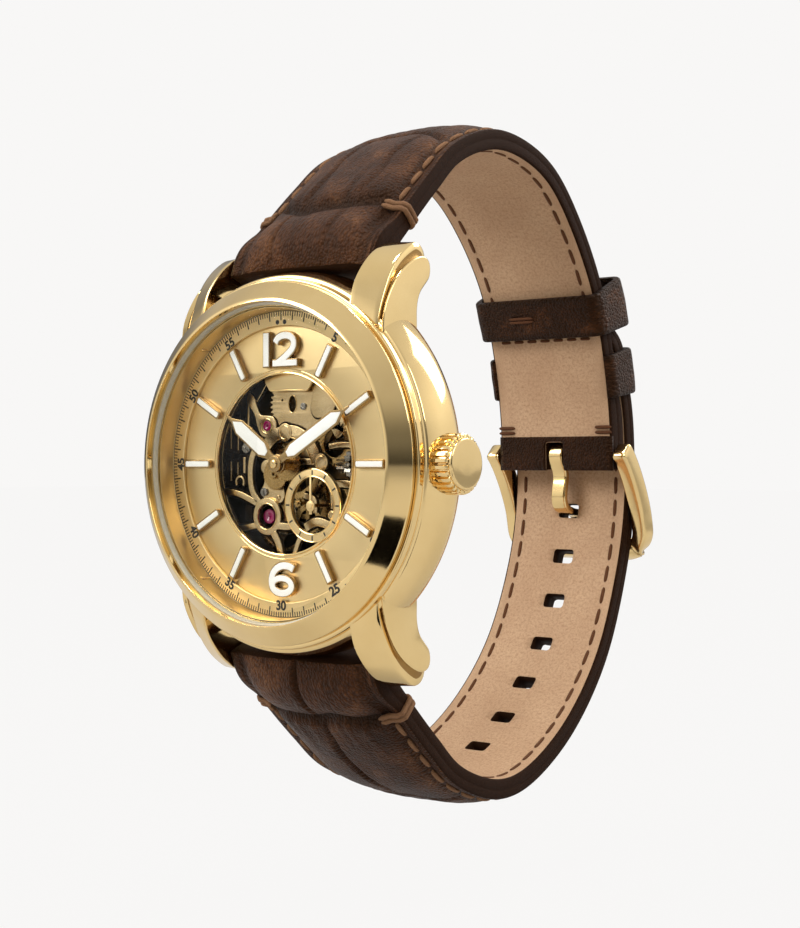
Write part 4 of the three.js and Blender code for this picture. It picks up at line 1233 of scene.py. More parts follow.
def buckle_half():
    half = Half("buckle_half_leather", BUCKLE_PATH, [
        ("across", 7.6, 1.0, 1.0), ("across", 23.5, 0.45, 0.7), ("across", 36.0, 0.45, 0.6),
        ("across", 48.0, 0.4, 0.5), ("along", -3.4, 0.3, 0.4), ("along", 4.6, 0.3, 0.34),
        ("across", 59.0, 0.4, 0.45),
    ], 0.78, 3.1, False)
    path = half.path
    turn = path.length_at_height(3.8, BUCKLE_LEN - 12, BUCKLE_LEN)
    bar = path.length_at_height(BUCKLE_BAR[1], BUCKLE_LEN - 8, BUCKLE_LEN)
    under_keeper = path.length_at_height(17.0, BUCKLE_LEN * 0.6, BUCKLE_LEN)
    body = cut(leather_body(half), [punch(path, 1.5, bar - 1.9, BUCKLE_LEN + 3, 0.4)])
    fold = cut(buckle_fold(half, turn), [punch(path, 1.55, bar - 2.0, BUCKLE_LEN + 3, 0.5)])
    dark = seam(half, 9.5, under_keeper, False)
    w = half.half_width(turn)
    dark += [bar_stitch(path, side * (w - 2.6), side * (w + 0.1), -0.12, turn - 0.9 + shift, 0.24)
             for side in (1, -1) for shift in (-0.35, 0.35)]
    reach = half.half_width(under_keeper) - 1.6
    for i in range(7):
        x0 = -reach + 2 * reach * i / 7 + 0.3
        dark.append(bar_stitch(path, x0, x0 + 2 * reach / 7 - 0.6, -0.02, under_keeper, 0.22))
    threads = seam(half, 9.5, turn - 20, True) + edge_staples(half, 8.0)
    return [body, fold, thread_object("buckle_half_seam", threads, THREAD),
            thread_object("buckle_half_lining_seam", dark, THREAD_DARK)]


def buckle_fold(half, turn):
    """The dark leather folded round the buckle's bar, seen on the wrist side."""
    end = BUCKLE_LEN + 0.1
    steps = 18
    points, uvs, creases = [], [], []
    across = [2 * k / 30 - 1 for k in range(31)]
    for t in (i / steps for i in range(steps + 1)):
        s = turn + (end - turn) * t
        w = half.half_width(s) + 0.05
        puff = 0.32 * math.sqrt(max(1 - abs(2 * t - 1) ** 4, 0.0)) + 0.04
        for x in (w * share for share in across):
            side = 1 - smoothstep(abs(x), w - 0.5, w)
            points.append(half.path.spot(x, -puff * side - 0.02, s))
            uvs.append((x, s))
            # How much the colour is darkened: some all over the fold, more towards its sides, and more
            # on its other face.
            creases.append(0.35 + 0.5 * (1 - side))
        for x in (-w * share for share in across):
            points.append(half.path.spot(x, 0.35, s))
            uvs.append((x, s))
            creases.append(0.6)
    faces = tube_faces(steps + 1, 2 * len(across))
    return leather_mesh("buckle_fold", points, faces, uvs, creases, [FOLD_LEATHER])


def long_half():
    half = Half("long_half_leather", LONG_PATH, [
        ("across", 6.6, 0.9, 1.0), ("across", 25.0, 0.45, 0.6), ("across", 41.0, 0.45, 0.5),
        ("along", -0.8, 0.34, 0.85), ("across", 55.0, 0.4, 0.4),
    ], 0.5, 8.4, True)
    first = half.path.length_at_height(FIRST_HOLE_Y, LONG_LEN * 0.5, LONG_LEN * 0.95)
    holes = [first - HOLE_PITCH * i for i in range(HOLES)]
    body = cut(leather_body(half), [punch(half.path, 1.6, s - 1.0, s + 1.0, 0.5) for s in holes])
    threads = seam(half, 8.5, LONG_LEN - 4, True) + edge_staples(half, 7.2)
    dark = seam(half, 9.5, LONG_LEN - 4, False)
    return [body, thread_object("long_half_seam", threads, THREAD),
            thread_object("long_half_lining_seam", dark, THREAD_DARK)]


# The keeper's cut: (how far out from its inner face, along the strap)
KEEPER_SECTION = fillet([
    (0.0, -2.9), (0.95, -2.9), (0.98, -2.0), (1.05, 0.0), (0.98, 2.0), (0.95, 2.9), (0.0, 2.9),
], [0.1, 0.45, 0.6, 0.6, 0.6, 0.45, 0.1], 3)


def keeper(name, height, bottom, open_bottom):
    """A loop of leather round the strap, with rolled edges and a rounded outer face."""
    centre = BUCKLE_PATH.length_at_height(height, BUCKLE_LEN * 0.6, BUCKLE_LEN)
    top = cad_buckle_thickness(centre / BUCKLE_LEN) + LAYER_GAP + (2.6 if open_bottom else 2.92)
    w = 9.3
    if open_bottom:
        route = fillet([(w - 0.6, bottom), (w, bottom + 0.3), (w, top), (-w, top),
                        (-w, bottom + 0.3), (-w + 0.6, bottom)], [0, 0.4, 1.0, 1.0, 0.4, 0], 6, False)
    else:
        route = rounded_box(-w, w, bottom, top, 1.0, 6)
    return keeper_mesh(name, centre, refine(route, 0.8, not open_bottom), not open_bottom), centre


def refine(route, step, closed):
    """A route with places added so that none are much further apart than a step."""
    out = []
    ends = route[1:] + route[:1] if closed else route[1:]
    for start, end in zip(route, ends):
        a = Vector(start)
        b = Vector(end)
        parts = max(int((b - a).length / step), 1)
        out += [a.lerp(b, k / parts) for k in range(parts)]
    return out if closed else out + [Vector(route[-1])]


def keeper_mesh(name, centre, route, closed):
    points, uvs, creases = [], [], []
    count = len(route)
    walked = 0.0
    for i, p in enumerate(route):
        a = route[i - 1 if closed or i else i]
        b = route[(i + 1) % count if closed or i < count - 1 else i]
        d = (b - a).normalized()
        out = Vector((d.y, -d.x))
        if i:
            walked += (p - route[i - 1]).length
        for height, along in KEEPER_SECTION:
            wave = 0.06 * noise.noise(Vector((walked * 0.5, along * 0.5, 2.0)))
            q = p + out * (height + (wave if height > 0.5 else 0.0))
            points.append(BUCKLE_PATH.spot(q.x, q.y, centre + along))
            uvs.append((along, walked))
            # How much the colour is darkened: more towards the rolled edges, and most on the inner
            # face.
            creases.append(smoothstep(abs(along), 1.9, 2.5) if height > 0.2 else 0.9)
    faces = tube_faces(count, len(KEEPER_SECTION), closed)
    return leather_mesh(name, points, faces, uvs, creases, [KEEPER_LEATHER])


# ---------------------------------------------------------------- buckle
def swept_band(name, route, half_width, thickness, corner=0.3):
    """A metal band along a side-view route of (y, z), as wide as given to both sides."""
    section = rounded_box(-thickness / 2, thickness / 2, -half_width, half_width, corner, 4)
    line = Path(route, 1, 12)
    steps = max(int(line.length / 0.35), 8)
    points = []
    for i in range(steps + 1):
        s = line.length * i / steps
        _, out = line.directions(min(max(s, 0.61), line.length - 0.61))
        tight = 1.0 - 0.25 * (smoothstep(s, 0.35, 0.0) + smoothstep(s, line.length - 0.35, line.length))
        points += [side_view_point(x, line.at(s) + out * (offset * tight)) for offset, x in section]
    return build(name, points, tube_faces(steps + 1, len(section)), [GOLD_BUCKLE])


def tongue_eye(r, half_width):
    """The round eye of the tongue, on the buckle's bar."""
    y, z = BUCKLE_BAR
    profile = fillet([(0.0, -half_width), (r, -half_width), (r, half_width), (0.0, half_width)],
                     [0, r * 0.3, r * 0.3, 0], 3)
    points = [side_view_point(x, Vector((y + q * math.cos(a), z + q * math.sin(a))))
              for a in circle_angles(40) for q, x in profile]
    return build("tongue_eye", points, turned_faces(profile, 40), [GOLD_BUCKLE])


BUCKLE_BAR = (57.5, 1.1)
END_BAR = (62.3, -12.2)
ARM_X = 10.45
ARM_SIDE = [(56.0, 2.0), (57.1, 0.9), (58.5, -1.0), (60.0, -3.6), (61.3, -6.6), (61.9, -9.2)]


def frame_route():
    """Half of the buckle's line from its top to the middle of its end bar, as (x, y, z)."""
    route = [(ARM_X, y, z) for y, z in ARM_SIDE]
    corner = 3.3
    low = Vector(ARM_SIDE[-1])
    for k in range(1, 9):
        a = math.radians(90 * k / 8)
        p = low + (Vector(END_BAR) - low) * math.sin(a)
        route.append((ARM_X - corner * (1 - math.cos(a)), p.x, p.y))
    return route + [(x, *END_BAR) for x in (5.5, 3.5, 1.5, 0.0)]


def buckle_frame():
    """A bent frame: flat arms, rounded corners and a rounder end bar."""
    half = smooth(frame_route(), 6)
    line = half + [Vector((-p.x, p.y, p.z)) for p in reversed(half[:-1])]
    points = []
    count = len(line)
    thick = 2.05
    section = rounded_box(-0.5, 0.5, -0.5, 0.5, 0.2, 4)
    for i, p in enumerate(line):
        along = (line[min(i + 1, count - 1)] - line[max(i - 1, 0)]).normalized()
        from_end = min(i, count - 1 - i)
        reach = from_end / (count / 2)
        side = along.cross(broad_direction(along, reach)).normalized()
        level = side.cross(along).normalized()
        wide = 2.75 - 0.45 * smoothstep(reach, 0.45, 0.75)
        ease = 0.72 + 0.28 * math.sqrt(1 - (1 - min(from_end / 3, 1.0)) ** 2)
        for a, b in section:
            q = p + level * (a * wide * ease) + side * (b * thick * ease)
            points.append(side_view_point(q.x, q.yz))
    return build("buckle_frame_loop", points, tube_faces(count, len(section)), [GOLD_BUCKLE], sharp=50)


def broad_direction(along, reach):
    """The frame's broad direction: square to the arm, then steady along the end bar."""
    steady = Vector((0, 0.96, -0.28))
    up = Vector((0, along.z, -along.y)) if abs(along.x) < 0.999 else Vector((0, 1, 0.35))
    if up.length < 0.2:
        return steady
    share = smoothstep(reach, 0.40, 0.70)
    return (up.normalized() * (1 - share) + steady * share).normalized()


def buckle_tongue():
    """The tongue: wrapped round the bar, dipped, straight, then bent out through its hole."""
    y, z = BUCKLE_BAR
    route = [(y + 0.75, z + 1.0), (y - 0.3, z + 1.32), (y - 1.2, z + 0.6), (56.35, 0.3), (57.1, -0.75),
             (57.35, -1.8), (57.1, -3.2), (56.95, -4.9), (57.45, -6.0), (59.0, -6.6), (61.4, -7.1),
             (63.2, -8.7), (64.1, -11.0), (64.2, -13.2)]
    arm = swept_band("tongue_arm", route, 1.15, 0.95)
    return joined("buckle_tongue_pin", [arm, tongue_eye(1.1, 1.1)])


# ---------------------------------------------------------------- movement
def dress(node, material, bevel):
    """A CAD node that keeps its shape: eased edges and a material of its own."""
    obj = frame["nodes"][node]
    obj.data.materials.clear()
    obj.data.materials.append(material)
    if bevel:
        modifier = obj.modifiers.new("eased_edges", "BEVEL")
        modifier.width = bevel * MM
        modifier.segments = 2
        modifier.limit_method = "ANGLE"
        modifier.angle_limit = math.radians(35)
        modifier.harden_normals = False


MOVEMENT = {
    DARK_BRONZE_SHADE: "main_plate spring_bar_upper spring_bar_lower",
    GOLD_LOWER_SHADE: "barrel_bridge train_bridge",
    GOLD_BRIDGE: "balance_cock rotor",
    BRASS: "centre_wheel third_wheel fourth_wheel balance_wheel hour_wheel minute_wheel",
    BRASS_DARK: "mainspring_barrel",
    STEEL: "escape_wheel pallet_fork ratchet_wheel crown_wheel winding_pinion clutch_wheel "
           "winding_stem cannon_pinion crown_tube buckle_bar",
    BLUE_STEEL: "hairspring mainspring",
    BLACK: "movement_ring",
    GLASS: "case_back_crystal",
}
FINE_NODES = {"hairspring", "mainspring", "case_back_crystal", "escape_wheel", "pallet_fork"}


def dress_movement():
    for material, nodes in MOVEMENT.items():
        for node in nodes.split():
            dress(node, material, 0.0 if node in FINE_NODES else 0.05)


FRAME_TOP = -1.22
UPPER_JEWEL = (-3.76, 4.41)
BALANCE_JEWEL = (-4.05, -6.08)


def bridge_part(name, outlines, top, thickness=0.42, bevel=0.07, material=GOLD_BRIDGE):
    return plate(name, outlines, top - thickness, top, material, bevel)


def underlay(name, outlines, top, thickness=0.12):
    """A dark plate under a bridge, which reads as the shade round its edge."""
    return bridge_part(name, outlines, top, thickness, 0.03, DARK_BRONZE_SHADE)


def cover(name, outline, top, thickness, grow, drop, holes=()):
    """A cover plate over a dark underlay that is a little larger, painted shade round its edge; top is
    from the frame's top.
    """
    return [
        bridge_part(name, [outline, *holes], FRAME_TOP + top, thickness),
        underlay(name, [swollen(outline, grow)], FRAME_TOP + top - drop, 0.14),
    ]


def strut(name, points, width, top, thickness=0.42):
    """A curved bar of a bridge, with a dark underlay a little wider than the bar, painted shade round
    its edge.
    """
    line = smooth(points) if len(points) > 2 else points
    return [
        bridge_part(name, [stroke_outline(line, width)], top, thickness),
        underlay(name, [stroke_outline(line, width + 0.42)], top - 0.16),
    ]


def boss(name, x, y, r, top):
    """A round boss with a turned groove."""
    return [
        bridge_part(name, [ring(x, y, r, 40)], top, 0.46),
        bead(name, ring(x, y, r * 0.72, 36), 0.05, top + 0.01, GOLD_POLISHED),
        underlay(name, [ring(x, y, r + 0.2, 40)], top - 0.14),
    ]


def screw(x, y, r, top, material, turn):
    """A slotted screw: a collar and two half-round cheeks with the slot between them."""
    parts = [plate("screw", [ring(x, y, r, 32)], top - 0.3, top - 0.1, material, 0.02)]
    for start in (0, 180):
        cheek = arc(0, 0, r * 0.96, start + 10, start + 170, 16)
        half = plate("screw", [cheek], top - 0.12, top, material, 0.03)
        to_axis = Matrix.Translation((0, -DIAL_Y * MM, 0))
        to_place = Matrix.Translation((x * MM, DIAL_Y * MM, y * MM))
        half.data.transform(to_place @ Matrix.Rotation(math.radians(turn), 4, "Y") @ to_axis)
        parts.append(half)
    return parts


def toothed(cx, cy, r, depth, teeth, start=0.0, end=360.0):
    """An outline with pointed teeth between two angles and plain elsewhere."""
    out = []
    for i in range(teeth * 4):
        a = 90.0 * i / teeth
        gap = i % 4 in (0, 3) and start <= a <= end
        q = r - depth if gap else r
        out.append((cx + q * math.cos(math.radians(a)), cy + q * math.sin(math.radians(a))))
    return out


def balance_side_frame():
    """The light frame at lower left: a ring round the balance jewel and its arms."""
    x, y = -3.68, -6.05
    parts = [
        bridge_part("balance_ring", [ring(x, y, 2.16, 56), ring(x, y, 1.45, 48)], FRAME_TOP, 0.45),
        underlay("balance_ring", [ring(x, y, 2.3, 56), ring(x, y, 1.3, 48)], FRAME_TOP - 0.36),
        bead("balance_ring", ring(x, y, 1.5, 48), 0.06, FRAME_TOP + 0.01, GOLD_POLISHED),
    ]
    arms = [
        ([(-11.3, -3.1), (-8.2, -3.5), (-5.3, -4.55)], 0.7),
        ([(-5.5, 1.9), (-6.15, 0.6), (-6.35, -1.2), (-6.0, -3.2), (-4.9, -4.5)], 0.78),
        ([(-9.3, -7.6), (-7.2, -7.45), (-5.2, -7.1)], 0.72),
        ([(-2.0, -7.1), (-0.6, -7.15), (0.9, -6.9)], 0.8),
        ([(-2.7, -7.9), (-1.9, -9.2), (-1.4, -11.4)], 0.9),
        ([(1.7, -7.9), (1.0, -9.2), (0.2, -11.3)], 0.6),
    ]
    for points, width in arms:
        parts += strut("frame_arm", points, width, FRAME_TOP - 0.01)
    hook = arc(-8.1, -2.1, 0.62, -40, 220, 22)
    return parts + strut("frame_hook", hook, 0.26, FRAME_TOP - 0.1, 0.3)


def arc_bridge():
    """The curved bridge above the hands' centre, with a boss at each bend."""
    path = arc(-0.45, -0.55, 4.35, 158, 8, 40)
    parts = strut("arc_bridge", path, 1.35, FRAME_TOP - 0.06)
    inner = arc(-0.45, -0.55, 3.62, 158, 8, 40)
    parts.append(bead_line("arc_bridge", inner, 0.05, FRAME_TOP - 0.05))
    parts += boss("arc_boss", -0.87, 3.63, 1.05, FRAME_TOP + 0.03)
    parts += boss("arc_boss", 4.62, 0.17, 1.0, FRAME_TOP + 0.03)
    parts += strut("click_lever", [(1.0, 0.3), (2.4, 0.28), (3.9, 0.2)], 0.7, FRAME_TOP - 0.15)
    return parts


def bead_line(name, path, r, z):
    """A fine turned line along an open path."""
    return plate(name, [stroke_outline(path, 2 * r)], z - r, z + r, GOLD_POLISHED, r * 0.6)


def jewel_tab():
    """The small bridge at upper left that carries a jewel."""
    outline = smooth_closed([(-6.6, 6.9), (-5.7, 5.7), (-5.2, 4.2), (-4.6, 3.3), (-3.5, 3.1),
                             (-2.5, 3.6), (-2.3, 4.6), (-2.75, 5.4), (-3.8, 5.6), (-4.7, 5.7),
                             (-5.3, 6.6), (-5.9, 7.9), (-6.8, 8.3)])
    parts = cover("jewel_tab", outline, -0.08, 0.42, 1.1, 0.16, [ring(*UPPER_JEWEL, 0.62, 32)])
    rim = bead("jewel_tab", ring(*UPPER_JEWEL, 0.85, 36), 0.05, FRAME_TOP - 0.07, GOLD_POLISHED)
    return parts + [rim]


def swollen(outline, share):
    """An outline grown about its middle."""
    cx = sum(p[0] for p in outline) / len(outline)
    cy = sum(p[1] for p in outline) / len(outline)
    return [(cx + (x - cx) * share, cy + (y - cy) * share) for x, y in outline]


def smooth_closed(points, samples=6):
    """A smooth closed outline through a few places."""
    line = smooth(points[-2:] + points + points[:2], samples)
    return [tuple(p) for p in line[2 * samples:(2 + len(points)) * samples]]


def toothed_plate():
    """The winding plate under the blank tab, toothed at its left, and two covers beside it."""
    x, y = 0.55, 6.75
    disc = toothed(x, y, 3.95, 0.34, 42, 120, 250)
    holes = [ellipse(0.06, 6.86, 0.55, 0.95, 28), ring(-1.54, 7.34, 0.14, 14)]
    right = smooth_closed([(2.5, 9.6), (3.3, 8.2), (3.0, 6.2), (3.6, 5.3), (5.4, 5.4), (6.6, 6.4),
                           (6.6, 8.2), (5.6, 9.6)])
    lower = smooth_closed([(1.6, 4.9), (3.4, 4.6), (5.6, 4.0), (6.6, 2.9), (7.6, 3.6), (7.7, 5.2),
                           (6.2, 5.6), (3.8, 5.0)])
    return [
        bridge_part("winding_plate", [disc, *holes], FRAME_TOP - 0.3, 0.3, 0.05),
        underlay("winding_plate", [toothed(x, y, 4.2, 0.34, 42, 120, 250)], FRAME_TOP - 0.5, 0.15),
        bead("winding_plate", ellipse(0.06, 6.86, 0.6, 1.0, 36), 0.05, FRAME_TOP - 0.29, GOLD_POLISHED),
        *cover("cover", right, -0.1, 0.3, 1.09, 0.14),
        *cover("cover", lower, -0.4, 0.3, 1.12, 0.15),
    ]


def keyless_detail():
    """Teeth and covers by the winding stem on the right."""
    wheel = toothed(6.3, 2.3, 2.6, 0.42, 32)
    parts = [plate("setting_wheel", [wheel, ring(6.3, 2.3, 1.6, 36)], -1.86, -1.62, BRASS, 0.03)]
    parts += strut("stem_cover", [(6.3, -2.3), (7.6, -2.2), (9.6, -2.4)], 0.8, FRAME_TOP - 0.2)
    parts += strut("stem_cover", [(5.6, 1.95), (7.2, 2.15), (10.6, 2.0)], 0.6, FRAME_TOP - 0.2)
    parts += strut("yoke", [(4.9, -1.5), (5.5, -2.0), (6.3, -2.9), (7.3, -4.6)], 0.5, FRAME_TOP - 0.35)
    return parts


def motion_cover():
    """The plate at lower left of the centre, with a post."""
    outline = smooth_closed([(-4.7, 0.2), (-3.6, 0.5), (-2.0, -1.6), (-1.5, -2.5), (-1.2, -3.6),
                             (-1.7, -4.4), (-2.6, -4.5), (-3.4, -4.0), (-4.6, -3.9), (-5.0, -3.2),
                             (-4.5, -2.4), (-4.3, -1.4), (-4.9, -0.6)])
    post = boss("motion_post", -3.25, -1.5, 0.6, FRAME_TOP - 0.3)
    return cover("motion_cover", outline, -0.32, 0.3, 1.1, 0.16) + post


def centre_plate():
    """The darker plate behind the hands' centre, its darker gold painted shade, pierced between the arc
    and the frame.
    """
    outline = smooth_closed([(-1.2, 1.9), (1.4, 2.4), (3.2, 1.5), (3.9, -0.2), (3.0, -1.3), (1.4, -1.7),
                             (0.6, -3.0), (-0.4, -3.2), (-0.8, -1.7), (-1.6, 0.4)])
    holes = [rounded_box(0.9, 2.4, -0.9, 0.0, 0.15, 3), ring(0, 0, 0.85, 30)]
    return [bridge_part("centre_plate", [outline, *holes], FRAME_TOP - 0.45, 0.2, 0.05, GOLD_LOWER_SHADE)]


def left_columns():
    """Upright plates and posts at the left, mostly in shadow; their near-black colour is painted shade.
    """
    parts = []
    for x0, x1, y0, y1, top in ((-10.9, -8.6, 1.2, 5.4, -1.9), (-8.4, -6.9, 3.9, 8.3, -1.75),
                                (-10.8, -8.9, -2.6, 0.6, -1.95), (-9.0, -7.2, -1.4, 1.1, -2.1),
                                (-7.9, -6.8, -6.6, -4.9, -2.0)):
        outline = rounded_box(x0, x1, y0, y1, 0.2, 3)
        parts.append(bridge_part("column", [outline], top, 0.35, 0.05, DARK_BRONZE_SHADE))
    for x, y0, y1, width in ((-8.75, 1.6, 5.0, 0.16), (-7.1, 4.2, 8.0, 0.35), (-8.8, -2.2, 0.2, 0.14),
                             (-7.75, -1.1, 0.8, 0.4), (-9.9, 1.8, 4.6, 0.2), (-9.9, -2.0, 0.3, 0.18)):
        parts += strut("column_edge", [(x, y0), (x, (y0 + y1) / 2), (x, y1)], width, -1.72, 0.2)
    return parts + strut("spring", [(-4.0, 9.4), (-4.9, 8.2), (-5.9, 6.9)], 0.14, -1.6, 0.15)


def seconds_window_detail():
    """Plates and cocks seen through the open small-seconds ring."""
    fx, fy = SMALL_SECONDS
    parts = []
    for offsets, width, top, thickness in (
        ([(-2.6, -2.6), (-0.9, -1.9), (1.6, -2.4)], 1.0, -1.5, 0.3),
        ([(0.2, 3.2), (1.3, 1.6), (1.5, -0.4)], 0.55, -1.6, 0.25),
        ([(-2.9, 1.1), (-1.4, 0.6), (-1.2, -0.9)], 0.7, -1.65, 0.25),
    ):
        points = [(fx + x, fy + y) for x, y in offsets]
        parts += strut("seconds_cock", points, width, top, thickness)
    return parts + boss("seconds_post", fx + 1.5, fy - 1.1, 0.55, -1.4)


def tab_plate():
    """The blank tab that hangs below 12 o'clock, under the dial's rim."""
    outline = fillet([(-3.85, 11.2), (-3.6, 9.4), (-2.75, 8.25), (0.0, 8.32), (2.85, 8.2), (3.7, 9.3),
                      (3.95, 11.2)], [0, 0.3, 0.4, 1.5, 0.4, 0.3, 0], 4)
    return [
        plate("tab", [outline], -1.08, -0.78, DIAL_GOLD, 0.05),
        bead_line("tab", [(-2.55, 8.38), (0.0, 8.44), (2.65, 8.33)], 0.05, -0.77),
    ]


def movement_front():
    """Everything of the dial-side bridges that shows through the dial's opening."""
    rim = bridge_part("plate_rim", [ring(0, 0, 13.0, 120), ring(0, 0, 10.95, 120)], -1.32, 0.5)
    gold = [rim] + balance_side_frame() + arc_bridge() + jewel_tab() + toothed_plate()
    gold += keyless_detail() + motion_cover() + centre_plate() + left_columns()
    gold += seconds_window_detail() + tab_plate()
    return joined("movement_front_bridges", gold)


def screws():
    heads = screw(-7.03, 1.88, 0.62, FRAME_TOP + 0.02, STEEL, 40)
    heads += screw(-4.3, -3.25, 0.52, FRAME_TOP - 0.12, STEEL, 75)
    heads += screw(1.76, 6.55, 0.42, FRAME_TOP - 0.12, STEEL, 20)
    heads += screw(-2.15, -3.9, 0.34, FRAME_TOP - 0.16, GOLD_BRIDGE, 55)
    return joined("movement_front_screws", heads)


def jewel(name, place, r, top):
    """A polished ruby bearing: a domed ring with an oil sink and a pivot hole."""
    profile = fillet([(0.1, top - 0.3), (r, top - 0.3), (r, top), (r * 0.55, top - 0.02),
                      (r * 0.25, top - 0.14), (0.1, top - 0.16)], [0, 0, 0.12, 0.06, 0.05, 0], 3)
    return turned(name, profile, [RUBY], 40, place)


def back_plate():
    """The dark ground plate behind the train, pierced to show the wheels from the back."""
    holes = [ring(0, 0, 1.1, 40), ring(-4.3, -6.1, 1.2, 36), ring(4.53, -4.65, 0.9, 30)]
    return plate("movement_ground_plate", [ring(0, 0, 13.4, 120)] + holes, -5.93, -5.83, DARK_BRONZE_SHADE, 0.02)


# ---------------------------------------------------------------- assembly
def assemble():
    dress_movement()
    barrel, *lugs = case()
    names = ["lug_upper_right", "lug_lower_right", "lug_upper_left", "lug_lower_left"]
    for obj, name in zip(lugs, names):
        obj.name = name
    for obj in [barrel] + lugs:
        finish_piece(obj, "case", "polished_gold", "case_middle")
    for make, slot, *nodes in (
        (case_back, "polished_gold", "case_back_ring"), (bezel, "polished_gold", "bezel"),
        (crystal, "crystal", "crystal"), (gasket, "black_plastic", "crystal_gasket"),
        (dial, "dial_gold", "dial"), (chapter_ring, "dial_gold", "chapter_ring"),
        (minute_track, "black_plastic"), (small_seconds_print, "black_plastic"),
        (movement_front, "brushed_gold", "dial_side_bridge"), (screws, "steel"),
        (back_plate, "brushed_gold"),
    ):
        finish_piece(make(), "case", slot, *nodes)
    for hour in (1, 2, 3, 4, 5, 7, 8, 9, 10, 11):
        finish_piece(marker(hour), "case", "white_lume", f"hour_marker_{hour:02d}")
    for obj, node in zip(numerals(), ("numeral_twelve", "numeral_six")):
        finish_piece(obj, "case", "white_lume", node)
    upper = jewel("jewel_ruby_upper", UPPER_JEWEL, 0.6, -1.3)
    finish_piece(upper, "case", "ruby", "jewel_upper")
    balance = jewel("jewel_ruby_balance", BALANCE_JEWEL, 0.85, -1.95)
    finish_piece(balance, "case", "ruby", "jewel_balance")
    for make, slot in (
        (hour_hand, "white_lume"), (minute_hand, "white_lume"), (seconds_hand, "polished_gold"),
        (crown, "polished_gold"), (buckle_frame, "polished_gold"), (buckle_tongue, "polished_gold"),
    ):
        finish_piece(make(), make.__name__, slot, make.__name__)
    assemble_strap()


def assemble_strap():
    for make, node in ((buckle_half, "strap_buckle_half"), (long_half, "strap_long_half")):
        for obj in make():
            finish_piece(obj, "case", "leather", node)
    fixed, _ = keeper("fixed_keeper_loop", FIXED_KEEPER_Y, 0.5, True)
    finish_piece(fixed, "case", "leather", "fixed_keeper")
    bottom = -0.6
    floating, centre = keeper("floating_keeper_loop", FLOATING_KEEPER_Y, bottom, False)
    finish_piece(floating, "floating_keeper", "leather", "floating_keeper")
    inside = bottom - 1.07
    joint = [thread_line(BUCKLE_PATH, [(-2.5, inside, centre + t) for t in (-2.7, 0.0, 2.7)], 0.07)]
    finish_piece(thread_object("floating_keeper_seam", joint, INK), "floating_keeper", "leather")
    staple = [bar_stitch(BUCKLE_PATH, -4.2, -0.2, inside - 0.02, centre - 0.1 + t, 0.22)
              for t in (-0.24, 0.24)]
    finish_piece(thread_object("floating_keeper_stitch", staple, THREAD_DARK), "floating_keeper",
                 "leather")


# ---------------------------------------------------------------- stage
FLOOR_DROP = 0.012


def camera():
    """Level with the dial's centre, 39 degrees round towards the crown."""
    data = bpy.data.cameras.new("camera")
    data.sensor_fit = "VERTICAL"
    data.sensor_height = 36.0
    data.lens = 66.34
    data.clip_start = 0.01
    obj = bpy.data.objects.new("camera", data)
    bpy.context.scene.collection.objects.link(obj)
    obj.location = (0.13155, -0.15188, 0.0)
    look = Vector((-0.624, 0.7815, 0.0))
    obj.rotation_euler = look.to_track_quat("-Z", "Y").to_euler()
    bpy.context.scene.camera = obj


def area_light(name, location, target, size, power):
    data = bpy.data.lights.new(name, "AREA")
    data.shape = "RECTANGLE"
    data.size = size
    data.size_y = size
    data.energy = power
    obj = bpy.data.objects.new(name, data)
    bpy.context.scene.collection.objects.link(obj)
    obj.location = location
    aim = Vector(target) - Vector(location)
    obj.rotation_euler = aim.to_track_quat("-Z", "Y").to_euler()


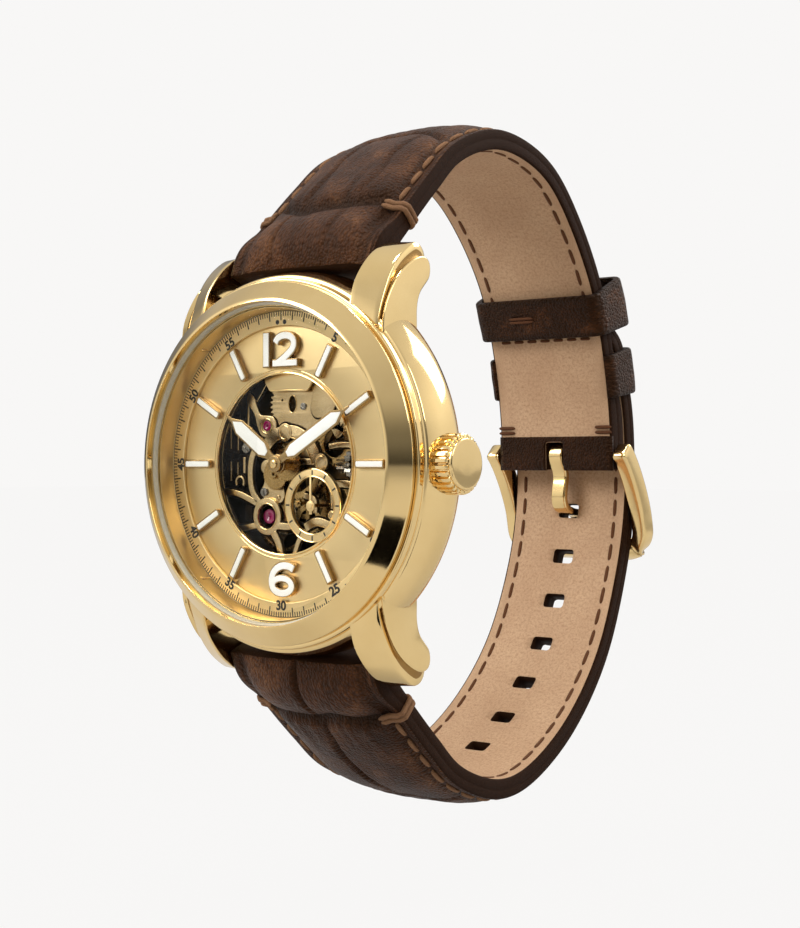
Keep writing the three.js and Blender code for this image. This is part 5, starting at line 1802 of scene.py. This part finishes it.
def world():
    """A pale studio: white to the camera; for mirrors, dark at the camera and bright to its sides."""
    scene = bpy.context.scene
    scene.world = bpy.data.worlds.new("studio")
    scene.world.use_nodes = True
    scene.world.node_tree.nodes.clear()
    s = Nodes(scene.world.node_tree)
    outwards = s.add("ShaderNodeTexCoord").outputs["Generated"]
    up = s.add("ShaderNodeSeparateXYZ", {0: outwards}).outputs["Z"]
    height = s.add("ShaderNodeMapRange", {"Value": up, "From Min": -1.0}).outputs[0]
    greys = [(0.0, 0.16), (0.36, 0.03), (0.48, 0.04), (0.60, 0.20), (0.76, 0.58), (1.0, 0.80)]
    sky = s.ramp(height, [(place, (grey, grey, grey, 1)) for place, grey in greys], "EASE")
    to_camera = {0: outwards, 1: (-0.62, -0.78, 0.0)}
    facing = s.add("ShaderNodeVectorMath", to_camera, operation="DOT_PRODUCT")
    flank = s.math("MULTIPLY", facing.outputs["Value"], facing.outputs["Value"])
    glow = s.add("ShaderNodeMapRange", {
        "Value": flank, "From Min": 0.15, "From Max": 0.9, "To Max": 0.78,
    }, interpolation_type="SMOOTHSTEP")
    mirror = s.add("ShaderNodeBackground", {0: s.math("ADD", sky, glow.outputs[0])})
    backdrop = s.add("ShaderNodeBackground", {0: BACKDROP})
    seen = s.add("ShaderNodeLightPath").outputs["Is Camera Ray"]
    mixed = s.add("ShaderNodeMixShader", {0: seen, 1: mirror.outputs[0], 2: backdrop.outputs[0]})
    s.add("ShaderNodeOutputWorld", {0: mixed.outputs[0]})


def floor():
    """A wide pale floor a little below the strap."""
    z = cad_box[0][2] - FLOOR_DROP
    size = 3.0
    mesh = bpy.data.meshes.new("floor")
    corners = [(-size, -size, z), (size, -size, z), (size, size, z), (-size, size, z)]
    mesh.from_pydata(corners, [], [(0, 1, 2, 3)])
    s = Shader("floor_paint")
    cloud = s.noise(s.coords(), 6.0, 2.0)
    s.set(Base_Color=s.mix(cloud, srgb(176, 175, 174), srgb(190, 189, 188)), Roughness=0.9)
    seen = s.add("ShaderNodeLightPath").outputs["Is Camera Ray"]
    glow = s.add("ShaderNodeEmission", {"Color": BACKDROP})
    s.blend_surface(s.math("MULTIPLY", seen, 0.985), s.surface, glow)
    link("floor", mesh, [s.material])


def dark_card():
    """A black card lying near the watch, out of sight, for the bezel to mirror."""
    corners = [(0.0283, -0.0582), (0.0803, -0.1072), (0.0997, -0.0868), (0.0477, -0.0378)]
    low = cad_box[0][2] - FLOOR_DROP + 0.0002
    points = [(x, y, z) for z in (low, low + 0.0004) for x, y in corners]
    s = Shader("card_black")
    speck = s.noise(s.coords(), 900.0, 2.0)
    s.set(Base_Color=s.mix(speck, srgb(2, 2, 2), srgb(8, 7, 6)), Roughness=1.0, Specular_IOR_Level=0.0)
    seen = s.add("ShaderNodeLightPath").outputs["Is Camera Ray"]
    s.blend_surface(seen, s.surface, s.add("ShaderNodeBsdfTransparent"))
    build("dark_card", points, tube_faces(2, 4), [s.material])


def stage():
    camera()
    world()
    floor()
    dark_card()
    scene = bpy.context.scene
    scene.view_settings.view_transform = "Standard"
    scene.view_settings.look = "None"
    middle = (0.0, 0.02, 0.0)
    area_light("key", (-0.30, -0.42, 0.35), middle, 0.30, 2.2)
    area_light("fill", (0.42, -0.10, 0.30), middle, 0.25, 0.8)
    area_light("rim", (0.25, 0.45, 0.40), middle, 0.3, 1.5)
    area_light("top", (0.06, -0.06, 0.55), (0.0, 0.01, 0.03), 0.10, 0.9)


assemble()
stage()
